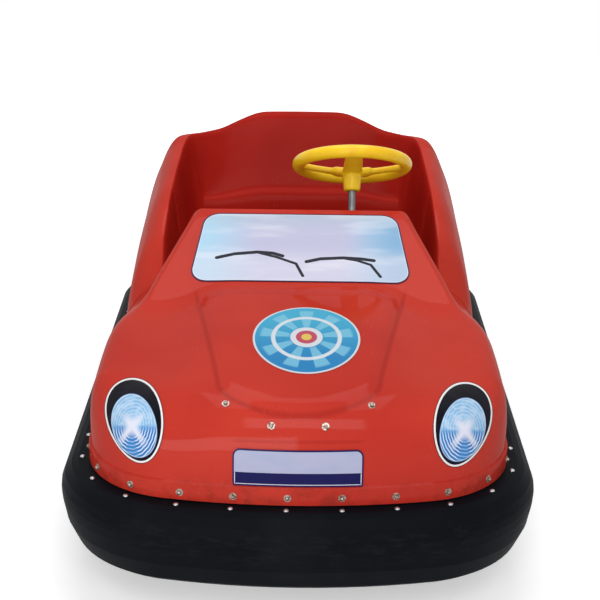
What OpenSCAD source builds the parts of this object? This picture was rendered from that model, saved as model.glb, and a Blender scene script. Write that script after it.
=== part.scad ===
// Two-seat battery bumper car: an open moulded body with a bench, a rubber bumper ring,
// one steered drive wheel in front and two free wheels behind.
// Millimetres. Front towards -Y, the car's left side towards +X, floor at Z = 0.

/* [Bumper ring] */
// Reach of the rubber from the middle of the car to its front and rear tips
ring_reach = 944; // [900:1:1000]
// Half the distance between the front corner centres
front_corner_x = 222; // [160:1:260]
// Distance of the front corner centres behind the rubber's front tip
front_corner_back = 312; // [300:1:360]
// Radius of the rubber at the front corners
front_corner_r = 290; // [270:1:298]
// Half the distance between the rear corner centres
rear_corner_x = 245; // [200:1:280]
// Distance of the rear corner centres ahead of the rubber's rear tip
rear_corner_back = 364; // [345:1:400]
// Radius of the rubber at the rear corners
rear_corner_r = 330; // [300:1:340]
// Lowest edge of the rubber
rubber_low = 92; // [70:1:120]
// Height of the rubber's widest line
rubber_wide = 205; // [180:1:230]
// Top of the rubber, just under the body's skirt
rubber_top = 262; // [245:1:275]
// Thickness of the steel band that carries the rubber and the body
band_thick = 6; // [4:1:10]
// Lower edge of the steel band
band_low = 112; // [100:1:130]
// Upper edge of the steel band
band_top = 298; // [280:1:310]

/* [Body moulding] */
// Distance from the rubber's widest line in to the body's skirt
skirt_inset = 62; // [45:1:80]
// Lower edge of the skirt
skirt_low = 265; // [255:1:280]
// Height of the skirt, up to the crease
skirt_high = 36; // [25:1:45]
// Step in of the body at the crease
crease_in = 5; // [2:1:10]
// Thickness of the moulding
shell_thick = 5; // [3:0.5:8]
// Clearance inside the moulding for what is fitted against its flat facets
shell_gap = 0.8; // [0.6:0.1:1.5]
// Height of the bonnet's front tip
bonnet_tip_z = 447; // [420:1:470]
// Distance of the bonnet's front tip behind the rubber's front tip
bonnet_back = 89; // [80:1:110]
// Height of the bonnet where the windscreen starts
screen_base_z = 520; // [500:1:560]
// Place of the windscreen's lower edge
screen_base_y = -278; // [-320:1:-240]
// Height of the windscreen's upper edge
screen_top_z = 650; // [620:1:680]
// Place of the windscreen's upper edge
screen_top_y = -20; // [-50:1:10]
// Height of the cowl's rear edge
cowl_top_z = 660; // [640:1:680]
// Half width of the cowl's flat top
cowl_half = 272; // [240:1:300]
// Widening of the cowl towards the bonnet, millimetres out per millimetre forward
cowl_flare = 0.1; // [0:0.01:0.2]
// Fall of the cowl's sides, millimetres down per millimetre out
cowl_fall = 2.1; // [1.5:0.1:3]
// Half width of the bonnet panel where its rounded front begins
panel_half = 153; // [130:1:180]
// Length of the bonnet panel's rounded front
panel_nose = 92; // [70:1:110]
// Distance from the rubber's front tip to where the bonnet panel's rounded front begins
panel_back = 204; // [190:1:230]
// Taper of the bonnet panel's sides, millimetres out per millimetre back
panel_taper = 0.19; // [0:0.01:0.3]
// Rise of the bonnet panel over the fenders
panel_rise = 9; // [3:1:16]
// Fall from the bonnet panel to the fenders
fender_drop = 30; // [10:1:60]

/* [Seat] */
// Height of the bench at its front edge
bench_z = 400; // [370:1:430]
// Place of the bench's front face
bench_y = 292; // [260:1:330]
// Half width inside the sills and wings
inside_half = 376; // [350:1:390]
// Height of the flat top of the backrest
back_top_z = 800; // [780:1:820]
// Place of the backrest's top edge
back_top_y = 772; // [740:1:800]

/* [Prints] */
// Place of the headlamps round the body, 1 is where the nose meets the corner and 2 the corner's end
lamp_f = 1.26; // [1.15:0.01:1.35]
// Height of the headlamps on the body's rounded edge, as a share of it
lamp_up = 0.745; // [0.65:0.005:0.78]
// Lean of the headlamps' prints back from upright
lamp_tilt = 24; // [15:1:35]
// Half width of the headlamps' dark fields
lamp_half_w = 62; // [50:1:64]
// Half height of the headlamps' dark fields
lamp_half_h = 85; // [60:1:86]
// Half width of the headlamps' lenses
lens_half_w = 48; // [35:1:50]
// Half height of the headlamps' lenses
lens_half_h = 62; // [40:1:64]
// Half width of the windscreen's print at its upper edge
screen_print_top = 248; // [220:1:255]
// Half width of the windscreen's print at its lower edge
screen_print_low = 272; // [240:1:280]
// Distance of the bonnet sticker's middle from the windscreen's lower edge
sticker_ahead = 297; // [280:1:310]
// Sideways place of the bonnet sticker's middle
sticker_x = 15; // [0:1:20]
// Half width of the bonnet sticker
sticker_half = 116; // [90:1:120]
// Half length of the bonnet sticker
sticker_long = 155; // [120:1:160]
// Half width of the number plate
plate_half = 128; // [110:1:135]
// Distance of the number plate's lower edge above the body's crease
plate_low = 1; // [0:1:6]
// Height of the number plate
plate_high = 76; // [60:1:80]

/* [Drive unit] */
// Distance of the drive wheel from the middle of the car
drive_y = -520; // [-560:1:-480]
// Radius of the drive tyre
drive_r = 125; // [110:1:140]
// Width of the drive tyre
drive_width = 80; // [60:1:90]
// Radius of the drive wheel's rim under its tyre
drive_rim_r = 78; // [70:1:84]
// Diameter of the drive wheel's axle
drive_axle_d = 24; // [20:1:30]
// Thickness of the fork's cheeks
fork_plate = 8; // [6:1:10]
// Diameter of the kingpin
kingpin_d = 40; // [30:1:50]
// Running clearance of shafts in their bushes, on the radius
shaft_fit = 0.05; // [0.01:0.01:0.1]

/* [Rear wheels] */
// Distance of the rear axle behind the middle of the car
axle_y = 480; // [440:1:520]
// Radius of the rear tyres
rear_r = 100; // [90:1:120]
// Width of the rear tyres
rear_width = 60; // [45:1:70]
// Radius of the rear wheels' rims under their tyres
rear_rim_r = 62; // [58:1:68]
// Half the rear track
rear_track = 330; // [300:1:350]
// Diameter of the rear axle
axle_d = 25; // [20:1:32]

/* [Steering] */
// Sideways place of the steering wheel
wheel_x = 139; // [100:1:180]
// Lengthways place of the steering wheel's centre
wheel_y = 184; // [150:1:220]
// Height of the steering wheel's centre
wheel_z = 739; // [700:1:760]
// Lean of the column from upright
column_lean = 25; // [10:1:40]
// Outer diameter of the steering wheel
wheel_d = 330; // [300:1:360]
// Thickness of the steering wheel's rim
rim_d = 35; // [28:1:40]
// Diameter of the steering shaft
column_d = 20; // [16:1:25]
// Distance of the column's upper bush below the steering wheel
bush_at = 173; // [170:1:180]
// Length of the drop arm and of the arm on the kingpin, centre to centre
arm_length = 90; // [70:1:110]
// Height of the steering arms' lower faces
arm_z = 348; // [340:1:360]
// Thickness of the steering arms
arm_thick = 10; // [8:1:12]
// Width of the steering arms
arm_wide = 24; // [16:1:26]
// Diameter of the round end of each steering arm
arm_tip_d = 30; // [28:1:34]
// Diameter of the pins that carry the drag link
link_pin = 12; // [10:1:14]
// Place of the steering gearbox's output
box_y = -78; // [-100:1:-50]

/* [Frame] */
// Half the distance between the frame rails' centres
rail_x = 200; // [180:1:220]
// Width and height of the frame rails
rail_size = 40; // [30:1:50]
// Lower face of the frame rails
rail_low = 118; // [100:1:130]
// Thickness of the cross bars
bar_thick = 8; // [6:1:10]
// Width of the cross bars
bar_width = 60; // [40:1:80]
// Distance of the front cross bar behind the rubber's front tip
bar_front = 244; // [230:1:260]
// Distance of the rear cross bar and its lashing hole ahead of the rubber's rear tip
bar_rear = 244; // [230:1:260]
// Thickness of the floor plate
floor_thick = 3; // [2:0.5:5]
// Radius of the lashing hole in the rear cross bar
lash_r = 9; // [6:0.5:12]

/* [Battery and pedal] */
// Width of the battery block under the bench
battery_x = 480; // [400:1:500]
// Length of the battery block
battery_y = 240; // [200:1:250]
// Height of the battery block
battery_z = 190; // [150:1:195]
// Sideways place of the foot pedal
pedal_x = 45; // [30:1:60]
// Place of the foot pedal's front edge
pedal_y = -190; // [-210:1:-170]

/* [Show] */
// Piece to build

/* [Hidden] */
$fn = 64;
ring_fn = 288;
touch = 0.3;

rail_top = rail_low + rail_size;
bar_low = rail_top + touch;
bar_top = bar_low + bar_thick;
floor_low = bar_top + touch;
floor_top = floor_low + floor_thick;
tub_thick = shell_thick - 1;
foot_z = floor_top + touch + tub_thick;
band_inset = skirt_inset + shell_thick + shell_gap;
inner_inset = band_inset + band_thick + touch;
crease_z = skirt_low + skirt_high;
crease_rise = 3;
deck_z = crease_z + crease_rise;
bonnet_tip_y = bonnet_back - ring_reach;
panel_y = panel_back - ring_reach;
link_vector = [wheel_x, box_y - drive_y];
link_length = norm(link_vector);
arm_angle = atan2(link_vector[1], link_vector[0]) - 90;

// Smooth helpers
function clamp01(t) = max(0, min(1, t));
function ease(a, b, t) = let (u = clamp01((t - a) / (b - a))) u * u * (3 - 2 * u);
function smax(a, b, k) = let (h = max(k - abs(a - b), 0) / k) max(a, b) + h * h * k / 4;
function smin(a, b, k) = -smax(-a, -b, k);
function slope(T, i, c) = i == 0 ? (T[1][c] - T[0][c]) / (T[1][0] - T[0][0])
    : i == len(T) - 1 ? (T[i][c] - T[i - 1][c]) / (T[i][0] - T[i - 1][0])
    : let (a = (T[i][c] - T[i - 1][c]) / (T[i][0] - T[i - 1][0]),
           b = (T[i + 1][c] - T[i][c]) / (T[i + 1][0] - T[i][0]))
      a * b <= 0 ? 0 : 2 * a * b / (a + b);
function span_at(T, t, i = 0) = i >= len(T) - 2 || t < T[i + 1][0] ? i : span_at(T, t, i + 1);
// value of column c at t in a table whose first column rises, smooth and never overshooting
function along(T, c, t) =
    t <= T[0][0] ? T[0][c] : t >= T[len(T) - 1][0] ? T[len(T) - 1][c] :
    let (i = span_at(T, t), h = T[i + 1][0] - T[i][0], u = (t - T[i][0]) / h)
    (1 + 2 * u) * (1 - u) * (1 - u) * T[i][c] + u * (1 - u) * (1 - u) * h * slope(T, i, c)
    + u * u * (3 - 2 * u) * T[i + 1][c] + u * u * (u - 1) * h * slope(T, i + 1, c);

// Plan outline of the rubber: crown arcs, corner arcs and side lines, all tangent
front_corner_y = ring_reach - front_corner_back;
rear_corner_y = ring_reach - rear_corner_back;
function crown_r(across, back, r) = (across * across + back * back - r * r) / (2 * (back - r));
front_crown_r = crown_r(front_corner_x, front_corner_back, front_corner_r);
rear_crown_r = crown_r(rear_corner_x, rear_corner_back, rear_corner_r);
front_crown_y = -ring_reach + front_crown_r;
rear_crown_y = ring_reach - rear_crown_r;
// angle of each crown's end, from straight ahead or straight back
front_turn = atan2(front_corner_x, front_corner_y + front_crown_y);
rear_turn = atan2(rear_corner_x, rear_corner_y - rear_crown_y);
side_vector = [rear_corner_x - front_corner_x, rear_corner_y + front_corner_y];
side_normal = atan2(side_vector[1], side_vector[0])
    - acos((front_corner_r - rear_corner_r) / norm(side_vector));
function from_front(cx, cy, r, a) = [cx + r * sin(a), cy - r * cos(a)];
front_corner = [front_corner_x, -front_corner_y];
rear_corner = [rear_corner_x, rear_corner_y];
// point on the outline moved in by inset: f counts 0 front tip, 1 corner, 2 side, 3 rear corner,
// 4 rear crown, 5 rear tip
function plan_angle(f) = f <= 1 ? f * front_turn
    : f <= 2 ? front_turn + (f - 1) * (90 + side_normal - front_turn)
    : f <= 3 ? 90 + side_normal
    : f <= 4 ? 90 + side_normal + (f - 3) * (90 - side_normal - rear_turn)
    : 180 - rear_turn + (f - 4) * rear_turn;
function side_end(inset) =
    from_front(rear_corner[0], rear_corner[1], rear_corner_r - inset, 90 + side_normal);
function plan_at(inset, f) =
    f <= 1 ? from_front(0, front_crown_y, front_crown_r - inset, plan_angle(f))
    : f <= 2 ? from_front(front_corner[0], front_corner[1], front_corner_r - inset, plan_angle(f))
    : f <= 3 ? let (a = plan_at(inset, 2), b = side_end(inset)) a + (f - 2) * (b - a)
    : f <= 4 ? from_front(rear_corner[0], rear_corner[1], rear_corner_r - inset, plan_angle(f))
    : from_front(0, rear_crown_y, rear_crown_r - inset, plan_angle(f));

// Height of the body's top surface at a place in plan
// wing tops: place, height
wing_line = [[-60, 450], [40, 456], [100, 545], [180, 592], [285, 640], [400, 672], [528, 700],
    [719, 738], [900, 738]];
// backrest top: distance from the middle, height below the flat top
back_line = [[0, 0], [130, 0], [195, 22], [275, 54], [345, 63], [420, 62]];
// bonnet: place, height in the middle
bonnet_long = screen_base_y - bonnet_tip_y;
bonnet_line = [[-ring_reach, bonnet_tip_z - 17], [bonnet_tip_y, bonnet_tip_z],
    [bonnet_tip_y + 0.27 * bonnet_long, bonnet_tip_z + 31],
    [bonnet_tip_y + 0.615 * bonnet_long, screen_base_z - 16],
    [screen_base_y, screen_base_z], [-120, 500], [0, 478], [60, 440], [200, 430]];
// distance from the bonnet panel's edge, negative on the panel: an elliptic front, then straight sides
function panel_gap(x, y) = y < panel_y
    ? let (u = x / panel_half, v = (panel_y - y) / panel_nose, far = norm([u, v]))
        far * (far - 1) / max(norm([u / panel_half, v / panel_nose]), 1e-9)
    : abs(x) - panel_half - panel_taper * (y - panel_y);
function bonnet_h(x, y) = along(bonnet_line, 1, y)
    - fender_drop * ease(150, 330, abs(x)) * ease(bonnet_tip_y - 75, bonnet_tip_y + 255, y)
    + panel_rise * ease(14, -14, panel_gap(x, y)) * ease(bonnet_tip_y - 25, bonnet_tip_y + 15, y)
        * ease(screen_base_y + 18, screen_base_y - 52, y);
function screen_h(x, y) = let (
    rise = (screen_top_z - screen_base_z) / (screen_top_y - screen_base_y),
    plane = screen_base_z + (y - screen_base_y) * rise,
    top = smin(plane, cowl_top_z, 24),
    half = cowl_half + cowl_flare * max(0, screen_top_y - y),
    side = cowl_top_z + 6 - cowl_fall * (abs(x) - half))
    smin(top, side, 40);
function wing_h(x, y) = let (t = ease(600, 715, y))
    (1 - t) * along(wing_line, 1, y) + t * (back_top_z - along(back_line, 1, abs(x)));
function top_h(x, y) = y > 60 ? wing_h(x, y)
    : smax(smax(bonnet_h(x, y), screen_h(x, y), 26), wing_h(x, y) - 2000 * ease(40, -60, y), 10);

// Body surface: skirt, rounded edge, deck
// rounded edge: place f around the plan, width, squareness with 2 for a quarter of an ellipse
edge_line = [[0, 66, 2.5], [0.56, 84, 2.6], [0.97, 150, 3], [1.29, 186, 3.7], [1.6, 170, 3.7],
    [2, 88, 3.7], [2.15, 84, 3.3], [2.35, 126, 1.9], [2.6, 122, 1.75], [3, 138, 1.75],
    [3.5, 105, 1.9], [5, 105, 2.5]];
// where the body's upper edge lies over each place f: x, y
rim_line = [[0, 0, 0], [1, 103, 0], [1.3, 135, 0], [1.65, 195, 0], [2, 262, 0], [2.2, 296, 4],
    [2.36, 345, 14], [2.46, 372, 34], [2.56, inside_half, 90], [3, inside_half - 4, 560], [3.5, 352, 690],
    [3.75, 300, 719], [4, 225, 749], [5, 0, back_top_y]];
// half width inside the sills and wings at a place, and the backrest's edge at a distance from the middle
function side_half(y) = y < 560 ? inside_half - 4 * clamp01((y - 90) / 470)
    : inside_half - 4 - 20 * pow(clamp01((y - 560) / 130), 2);
function back_edge_y(x) = back_top_y - 84 * pow(abs(x) / 352, 3);
function rim_plan(f) = let (x = along(rim_line, 1, f), y = along(rim_line, 2, f))
    f > 2.56 && f < 3.5 ? [side_half(y), y] : f >= 3.5 ? [x, back_edge_y(x)] : [x, y];
function edge_width(f) = min(along(edge_line, 1, f),
    0.9 * norm(rim_plan(f) - plan_at(skirt_inset, f)));
function superq(s, f) = pow(max(0, s), 2 / along(edge_line, 2, f));
// w is 0 at the skirt's foot, 1 at its top, 2 at the crease, 3 at the end of the rounded edge, 4 at the rim
function body_at(f, w) =
    w <= 1 ? let (p = plan_at(skirt_inset, f)) [p[0], p[1], skirt_low + skirt_high * w]
    : w <= 2 ? let (p = plan_at(skirt_inset + crease_in * (w - 1), f))
        [p[0], p[1], crease_z + crease_rise * (w - 1)]
    : w <= 3 ? let (a = (w - 2) * 90, e = edge_width(f) - crease_in,
        p = plan_at(skirt_inset + crease_in + e * (1 - superq(cos(a), f)), f))
        [p[0], p[1], deck_z + (top_h(p[0], p[1]) - deck_z) * superq(sin(a), f)]
    : let (a = plan_at(skirt_inset + edge_width(f), f), b = rim_plan(f),
        p = a + deck_share(f, a, b, w - 3) * (b - a))
        [p[0], p[1], top_h(p[0], p[1])];
// half way up the deck's grid lies on the windscreen's lower edge
function deck_share(f, a, b, t) = let (
    m = f > 2.3 ? 0.5 : max(0.3, min(0.85, (screen_base_y + 4 - a[1]) / max(1, b[1] - a[1]))),
    s = ease(2.3, 2.1, f) * m + ease(2.1, 2.3, f) * 0.5)
    t <= 0.5 ? 2 * t * s : s + (2 * t - 1) * (1 - s);
function unit(v) = v / max(norm(v), 1e-9);
function body_n(f, w) = let (
    fa = max(0, f - 0.01), fb = min(5, f + 0.01), wa = max(0, w - 0.01), wb = min(4, w + 0.01))
    unit(cross(body_at(fb, w) - body_at(fa, w), body_at(f, wb) - body_at(f, wa)));
// the middle line's normal has no sideways part
function flat_n(f, n) = f <= 0 || f >= 5 ? unit([0, n[1], n[2]]) : n;

// closed skin between two grids of points, rows x columns, wrapped round in columns or not
function quad(a, b, c, d) = [[a, b, c], [a, c, d]];
function skin_faces(rows, cols, wrap) = let (n = rows * cols, last = wrap ? cols - 1 : cols - 2)
    [for (r = [0:rows - 2], c = [0:last]) let (d = (c + 1) % cols)
        each quad(r * cols + c, r * cols + d, (r + 1) * cols + d, (r + 1) * cols + c)];
function back_faces(rows, cols, wrap) = let (n = rows * cols)
    [for (t = skin_faces(rows, cols, wrap)) [t[2] + n, t[1] + n, t[0] + n]];
function row_edge(r, cols, n, wrap, flip) = let (last = wrap ? cols - 1 : cols - 2)
    [for (c = [0:last]) let (d = (c + 1) % cols, a = r * cols + c, b = r * cols + d)
        each (flip ? quad(b, a, a + n, b + n) : quad(a, b, b + n, a + n))];
function col_edge(c, rows, cols, n, flip) =
    [for (r = [0:rows - 2]) let (a = r * cols + c, b = (r + 1) * cols + c)
        each (flip ? quad(b, a, a + n, b + n) : quad(a, b, b + n, a + n))];
function turned(F) = [for (t = F) [t[2], t[1], t[0]]];
module skin(outer, inner, rows, cols, wrap = false, out = true) {
    n = rows * cols;
    faces = concat(skin_faces(rows, cols, wrap), back_faces(rows, cols, wrap),
        row_edge(0, cols, n, wrap, true), row_edge(rows - 1, cols, n, wrap, false),
        wrap ? [] : col_edge(0, rows, cols, n, false),
        wrap ? [] : col_edge(cols - 1, rows, cols, n, true));
    polyhedron(points = concat(outer, inner), faces = out ? faces : turned(faces), convexity = 12);
}

// places round the half plan and up the body that the moulding's grid uses
round_steps = [for (i = [0:5]) i / 6, for (i = [0:10]) 1 + i / 11, for (i = [0:14]) 2 + i / 15,
    for (i = [0:9]) 3 + i / 10, for (i = [0:5]) 4 + i / 5];
up_steps = [0, 1, 2, 2.12, 2.25, 2.38, 2.5, 2.62, 2.75, 2.88, 3, 3.1, 3.2, 3.3, 3.4, 3.46, 3.5, 3.54,
    3.64, 3.74, 3.84, 3.92, 4];
round_last = len(round_steps) - 1;
round_all = [for (i = [0:round_last]) [round_steps[i], 1],
    for (i = [round_last - 1:-1:1]) [round_steps[i], -1]];

module body_shell() {
    rows = len(up_steps);
    cols = len(round_all);
    outer = [for (w = up_steps, s = round_all) let (p = body_at(s[0], w)) [s[1] * p[0], p[1], p[2]]];
    inner = [for (w = up_steps, s = round_all)
        let (p = body_at(s[0], w) - shell_thick * flat_n(s[0], body_n(s[0], w))) [s[1] * p[0], p[1], p[2]]];
    color([0.75, 0.06, 0.04]) skin(outer, inner, rows, cols, true);
}

// Bench, backrest and footwell, moulded in one
// run down the middle: place, height
tub_line = [[24, foot_z], [42, foot_z], [90, foot_z], [180, foot_z], [bench_y - 22, foot_z],
    [bench_y - 8, foot_z + 6], [bench_y - 2, foot_z + 24], [bench_y + 6, bench_z - 30],
    [bench_y + 14, bench_z - 8], [bench_y + 34, bench_z], [450, bench_z - 8], [585, bench_z - 14],
    [612, bench_z - 8], [630, bench_z + 22]];
// run up the backrest: place, share of the height from the bench to the top
back_run = [[645, 0.17], [662, 0.36], [672, 0.41], [688, 0.44], [704, 0.53], [728, 0.72],
    [746, 0.88], [758, 0.97], [back_top_y - 2, 1]];
tub_across = [-1, -0.988, -0.972, -0.955, -0.935, -0.915, -0.89, -0.84, -0.7, -0.5, -0.34, -0.17, 0,
    0.17, 0.34, 0.5, 0.7, 0.84, 0.89, 0.915, 0.935, 0.955, 0.972, 0.988, 1];
bench_back_z = bench_z - 14;
back_foot_y = tub_line[len(tub_line) - 1][0];
dash_y = screen_top_y + 12;
dash_thick = 4;
dash_low = 470;
dash_gap = 2.5;
function tub_wall(c) = ease(0.86, 1, abs(c));
// the tub's edge stands inside the body's rim by its own thickness and a gap;
// in front it turns in with the rim
tub_seat = tub_thick + shell_gap;
function tub_half(y) = side_half(y) - tub_seat - 18 * pow(clamp01((90 - y) / 66), 2.5);
function tub_low(c, s) = let (y = tub_line[s][0], z = tub_line[s][1], h = tub_half(y))
    [c * h, y, z + (top_h(h + tub_seat, y) - z) * tub_wall(c)];
function tub_back(c, s) = let (g = back_run[s][1],
    y = back_foot_y - tub_seat
        + (back_run[s][0] - back_foot_y) * (1 - 84 / (back_top_y - back_foot_y) * pow(abs(c), 3)),
    x = c * tub_half(y),
    top = back_top_z - along(back_line, 1, abs(x)),
    z = bench_back_z + (top - bench_back_z) * g,
    side = top_h(abs(x) + tub_seat, y))
    [x, y, z + (side - z) * tub_wall(c)];
function tub_at(c, s) = s < len(tub_line) ? tub_low(c, s) : tub_back(c, s - len(tub_line));
tub_rows = len(tub_line) + len(back_run);
module cockpit_tub() {
    cols = len(tub_across);
    P = [for (s = [0:tub_rows - 1]) [for (c = tub_across) tub_at(c, s)]];
    N = [for (s = [0:tub_rows - 1]) [for (c = [0:cols - 1])
        unit(cross(P[s][min(cols - 1, c + 1)] - P[s][max(0, c - 1)],
            P[min(tub_rows - 1, s + 1)][c] - P[max(0, s - 1)][c]))]];
    top = [for (s = [0:tub_rows - 1], c = [0:cols - 1]) P[s][c]];
    low = [for (s = [0:tub_rows - 1], c = [0:cols - 1]) P[s][c] - tub_thick * N[s][c]];
    color([0.72, 0.05, 0.04]) skin(top, low, tub_rows, cols);
}

module dash_panel() {
    // upper edge just under the cowl's skin
    function under(x) = let (y = dash_y, n = unit([top_h(x - 1, y) - top_h(x + 1, y),
            top_h(x, y - 1) - top_h(x, y + 1), 2]))
        top_h(x, y) - shell_thick / n[2] - dash_gap;
    xs = [330, 310, 290, 280, 270, 260, 250, 240, 200, 100];
    edge = concat([for (x = xs) [-x, under(x)]], [[0, under(0)]],
        [for (i = [len(xs) - 1:-1:0]) [xs[i], under(xs[i])]]);
    color([0.7, 0.05, 0.04])
    translate([0, dash_y + dash_thick / 2, 0]) rotate([90, 0, 0]) linear_extrude(dash_thick)
        polygon(concat(edge, [[318, dash_low], [-318, dash_low]]));
}

// Thin prints that lie on the moulding
sheet_lift = 0.8;
sheet_thick = 1.2;
lens_gap = 0.9;
plate_thick = 2;
module deck_sheet(xs, ys, half, middle = 0) {
    // xs shares of the half width, ys places, half a list of half widths, one a row
    P = [for (r = [0:len(ys) - 1]) [for (c = xs) let (x = middle + c * half[r]) [x, ys[r], top_h(x, ys[r])]]];
    function deck_n(x, y) = unit([-(top_h(x + 1, y) - top_h(x - 1, y)) / 2,
        -(top_h(x, y + 1) - top_h(x, y - 1)) / 2, 1]);
    low = [for (r = P, p = r) p + sheet_lift * deck_n(p[0], p[1])];
    top = [for (r = P, p = r) p + (sheet_lift + sheet_thick) * deck_n(p[0], p[1])];
    skin(top, low, len(ys), len(xs));
}
function round_end(t, from, r) = r - sqrt(max(0, r * r - pow(max(0, t - (from - r)), 2)));
screen_print_front = screen_base_y + 22;
screen_print_back = screen_top_y - 4;
screen_rows = [for (t = [0:12]) screen_print_front
    + (screen_print_back - screen_print_front) * (1 - cos(t * 15)) / 2];
module windscreen_panel() {
    taper = (screen_print_low - screen_print_top) / (screen_print_back - screen_print_front);
    half = [for (y = screen_rows) screen_print_low - taper * (y - screen_print_front)
        - round_end(-y, -screen_print_front, 45) - round_end(y, screen_print_back, 34)];
    color([0.75, 0.82, 0.92]) deck_sheet([for (i = [-6:6]) i / 6], screen_rows, half);
}
module bonnet_sticker() {
    turns = [for (a = [0:15:180]) a];
    ys = [for (a = turns) screen_base_y - sticker_ahead - sticker_long * cos(a)];
    half = [for (a = turns) max(4, sticker_half * sin(a))];
    color([0.2, 0.5, 0.8]) deck_sheet([for (i = [-6:6]) i / 6], ys, half, sticker_x);
}

// place w on the rounded edge at a share of its height
function edge_w(share, f) = 2 + asin(pow(share, along(edge_line, 2, f) / 2)) / 90;
function edge_point(f, share) = body_at(f, edge_w(share, f));
// a headlamp's prints are drawn on a plane that leans back, and lie where they fall on the body
lamp_middle = edge_point(lamp_f, lamp_up);
function lamp_flat(f, share) = let (d = edge_point(f, share) - lamp_middle)
    [d[0], d[1] * sin(lamp_tilt) + d[2] * cos(lamp_tilt)];
// place f and share that fall on a point of the lamp's plane, found by Newton's rule
function lamp_spot(u, v, f, share, steps) = steps == 0 ? [f, share] : let (
    d = 0.001,
    p = lamp_flat(f, share),
    a = (lamp_flat(f + d, share) - p) / d,
    b = (lamp_flat(f, share + d) - p) / d,
    e = [u, v] - p,
    det = a[0] * b[1] - a[1] * b[0],
    next = share + (a[0] * e[1] - a[1] * e[0]) / det)
    lamp_spot(u, v, f + (e[0] * b[1] - e[1] * b[0]) / det, max(0.001, min(0.985, next)), steps - 1);
// oval print: wider above by egg, its middle up, leaning outwards
module lamp_disc(half_w, half_h, egg, up, lift, thick, side) {
    rings = [0.03, 0.25, 0.5, 0.75, 1];
    turns = [for (a = [0:15:345]) a];
    lean = 0.2;
    spots = [for (r = rings, a = turns) let (
        v = r * half_h * sin(a) + up,
        u = r * half_w * cos(a) * (1 + egg * sin(a)) + v * lean,
        s = lamp_spot(u, v, lamp_f, lamp_up, 7),
        w = edge_w(s[1], s[0]))
        [body_at(s[0], w), body_n(s[0], w)]];
    function raised(h) = [for (s = spots) let (p = s[0] + h * s[1]) [side * p[0], p[1], p[2]]];
    skin(raised(lift + thick), raised(lift), len(rings), len(turns), true, side < 0);
}
module lamp_field(side) {
    color([0.08, 0.09, 0.16]) lamp_disc(lamp_half_w, lamp_half_h, 0.13, 0, sheet_lift, sheet_thick, side);
}
module lamp_lens(side) {
    color([0.45, 0.7, 0.95])
        lamp_disc(lens_half_w, lens_half_h, 0, -12, sheet_lift + sheet_thick + lens_gap, 1.6, side);
}
module headlamp_field_left() { lamp_field(1); }
module headlamp_field_right() { lamp_field(-1); }
module headlamp_lens_left() { lamp_lens(1); }
module headlamp_lens_right() { lamp_lens(-1); }
module number_plate() {
    fs = [for (i = [-6:6]) i / 6];
    shares = [for (i = [0:5]) (plate_low + plate_high * i / 5) / (bonnet_tip_z - deck_z)];
    reach = plate_half * 180 / ((front_crown_r - skirt_inset) * front_turn * PI);
    function at(f, share, h) = let (g = abs(f) * reach, w = edge_w(share, g),
        p = body_at(g, w) + h * flat_n(g, body_n(g, w)))
        [f < 0 ? -p[0] : p[0], p[1], p[2]];
    top = [for (s = shares, f = fs) at(f, s, sheet_lift + plate_thick)];
    low = [for (s = shares, f = fs) at(f, s, sheet_lift)];
    color([0.8, 0.79, 0.88]) skin(top, low, len(shares), len(fs));
}

// Bumper ring
module plan_face(inset, $fn = ring_fn) {
    far = 2 * ring_reach;
    fl = plan_at(inset, 1);
    fs = plan_at(inset, 2);
    rs = plan_at(inset, 3);
    rl = plan_at(inset, 4);
    union() {
        polygon([fl, fs, rs, rl, [-rl[0], rl[1]], [-rs[0], rs[1]], [-fs[0], fs[1]], [-fl[0], fl[1]]]);
        for (s = [-1, 1]) {
            translate([s * front_corner_x, -front_corner_y]) circle(front_corner_r - inset);
            translate([s * rear_corner_x, rear_corner_y]) circle(rear_corner_r - inset);
        }
        intersection() {
            translate([0, front_crown_y]) circle(front_crown_r - inset);
            polygon([[0, front_crown_y], [far * tan(front_turn), front_crown_y - far],
                [-far * tan(front_turn), front_crown_y - far]]);
        }
        intersection() {
            translate([0, rear_crown_y]) circle(rear_crown_r - inset);
            polygon([[0, rear_crown_y], [far * tan(rear_turn), rear_crown_y + far],
                [-far * tan(rear_turn), rear_crown_y + far]]);
        }
    }
}
module about(middle, shrink) {
    translate(middle) scale(shrink) translate(-middle) children();
}
module arc_run(cx, cy, r, from, to, $fn = ring_fn) {
    // children: section drawn with x as the inset
    translate([cx, cy, 0]) rotate([0, 0, from]) rotate_extrude(angle = to - from)
        translate([r, 0]) mirror([1, 0]) children();
}
// the crowns and sides are a hair smaller than the corners and run a little way into them
module ring_run(middle, shrink) {
    // angles counted from +X
    lap = 0.4;
    side_lap = 2.5;
    fa = front_turn - 90;
    ra = 90 - rear_turn;
    a = plan_at(0, 2);
    b = plan_at(0, 3);
    long = norm(b - a);
    arc_run(0, front_crown_y, front_crown_r, -180 - fa - lap, fa + lap) about(middle, shrink) children();
    arc_run(0, rear_crown_y, rear_crown_r, ra - lap, 180 - ra + lap) about(middle, shrink) children();
    for (s = [0, 1]) mirror([s, 0, 0]) {
        arc_run(front_corner_x, -front_corner_y, front_corner_r, fa, side_normal) children();
        arc_run(rear_corner_x, rear_corner_y, rear_corner_r, side_normal, ra) children();
        translate([a[0], a[1], 0]) rotate([0, 0, side_normal]) translate([0, -side_lap, 0])
            rotate([90, 0, 0]) mirror([0, 0, 1])
            linear_extrude(long + 2 * side_lap) mirror([1, 0]) about(middle, shrink) children();
    }
}
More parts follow.
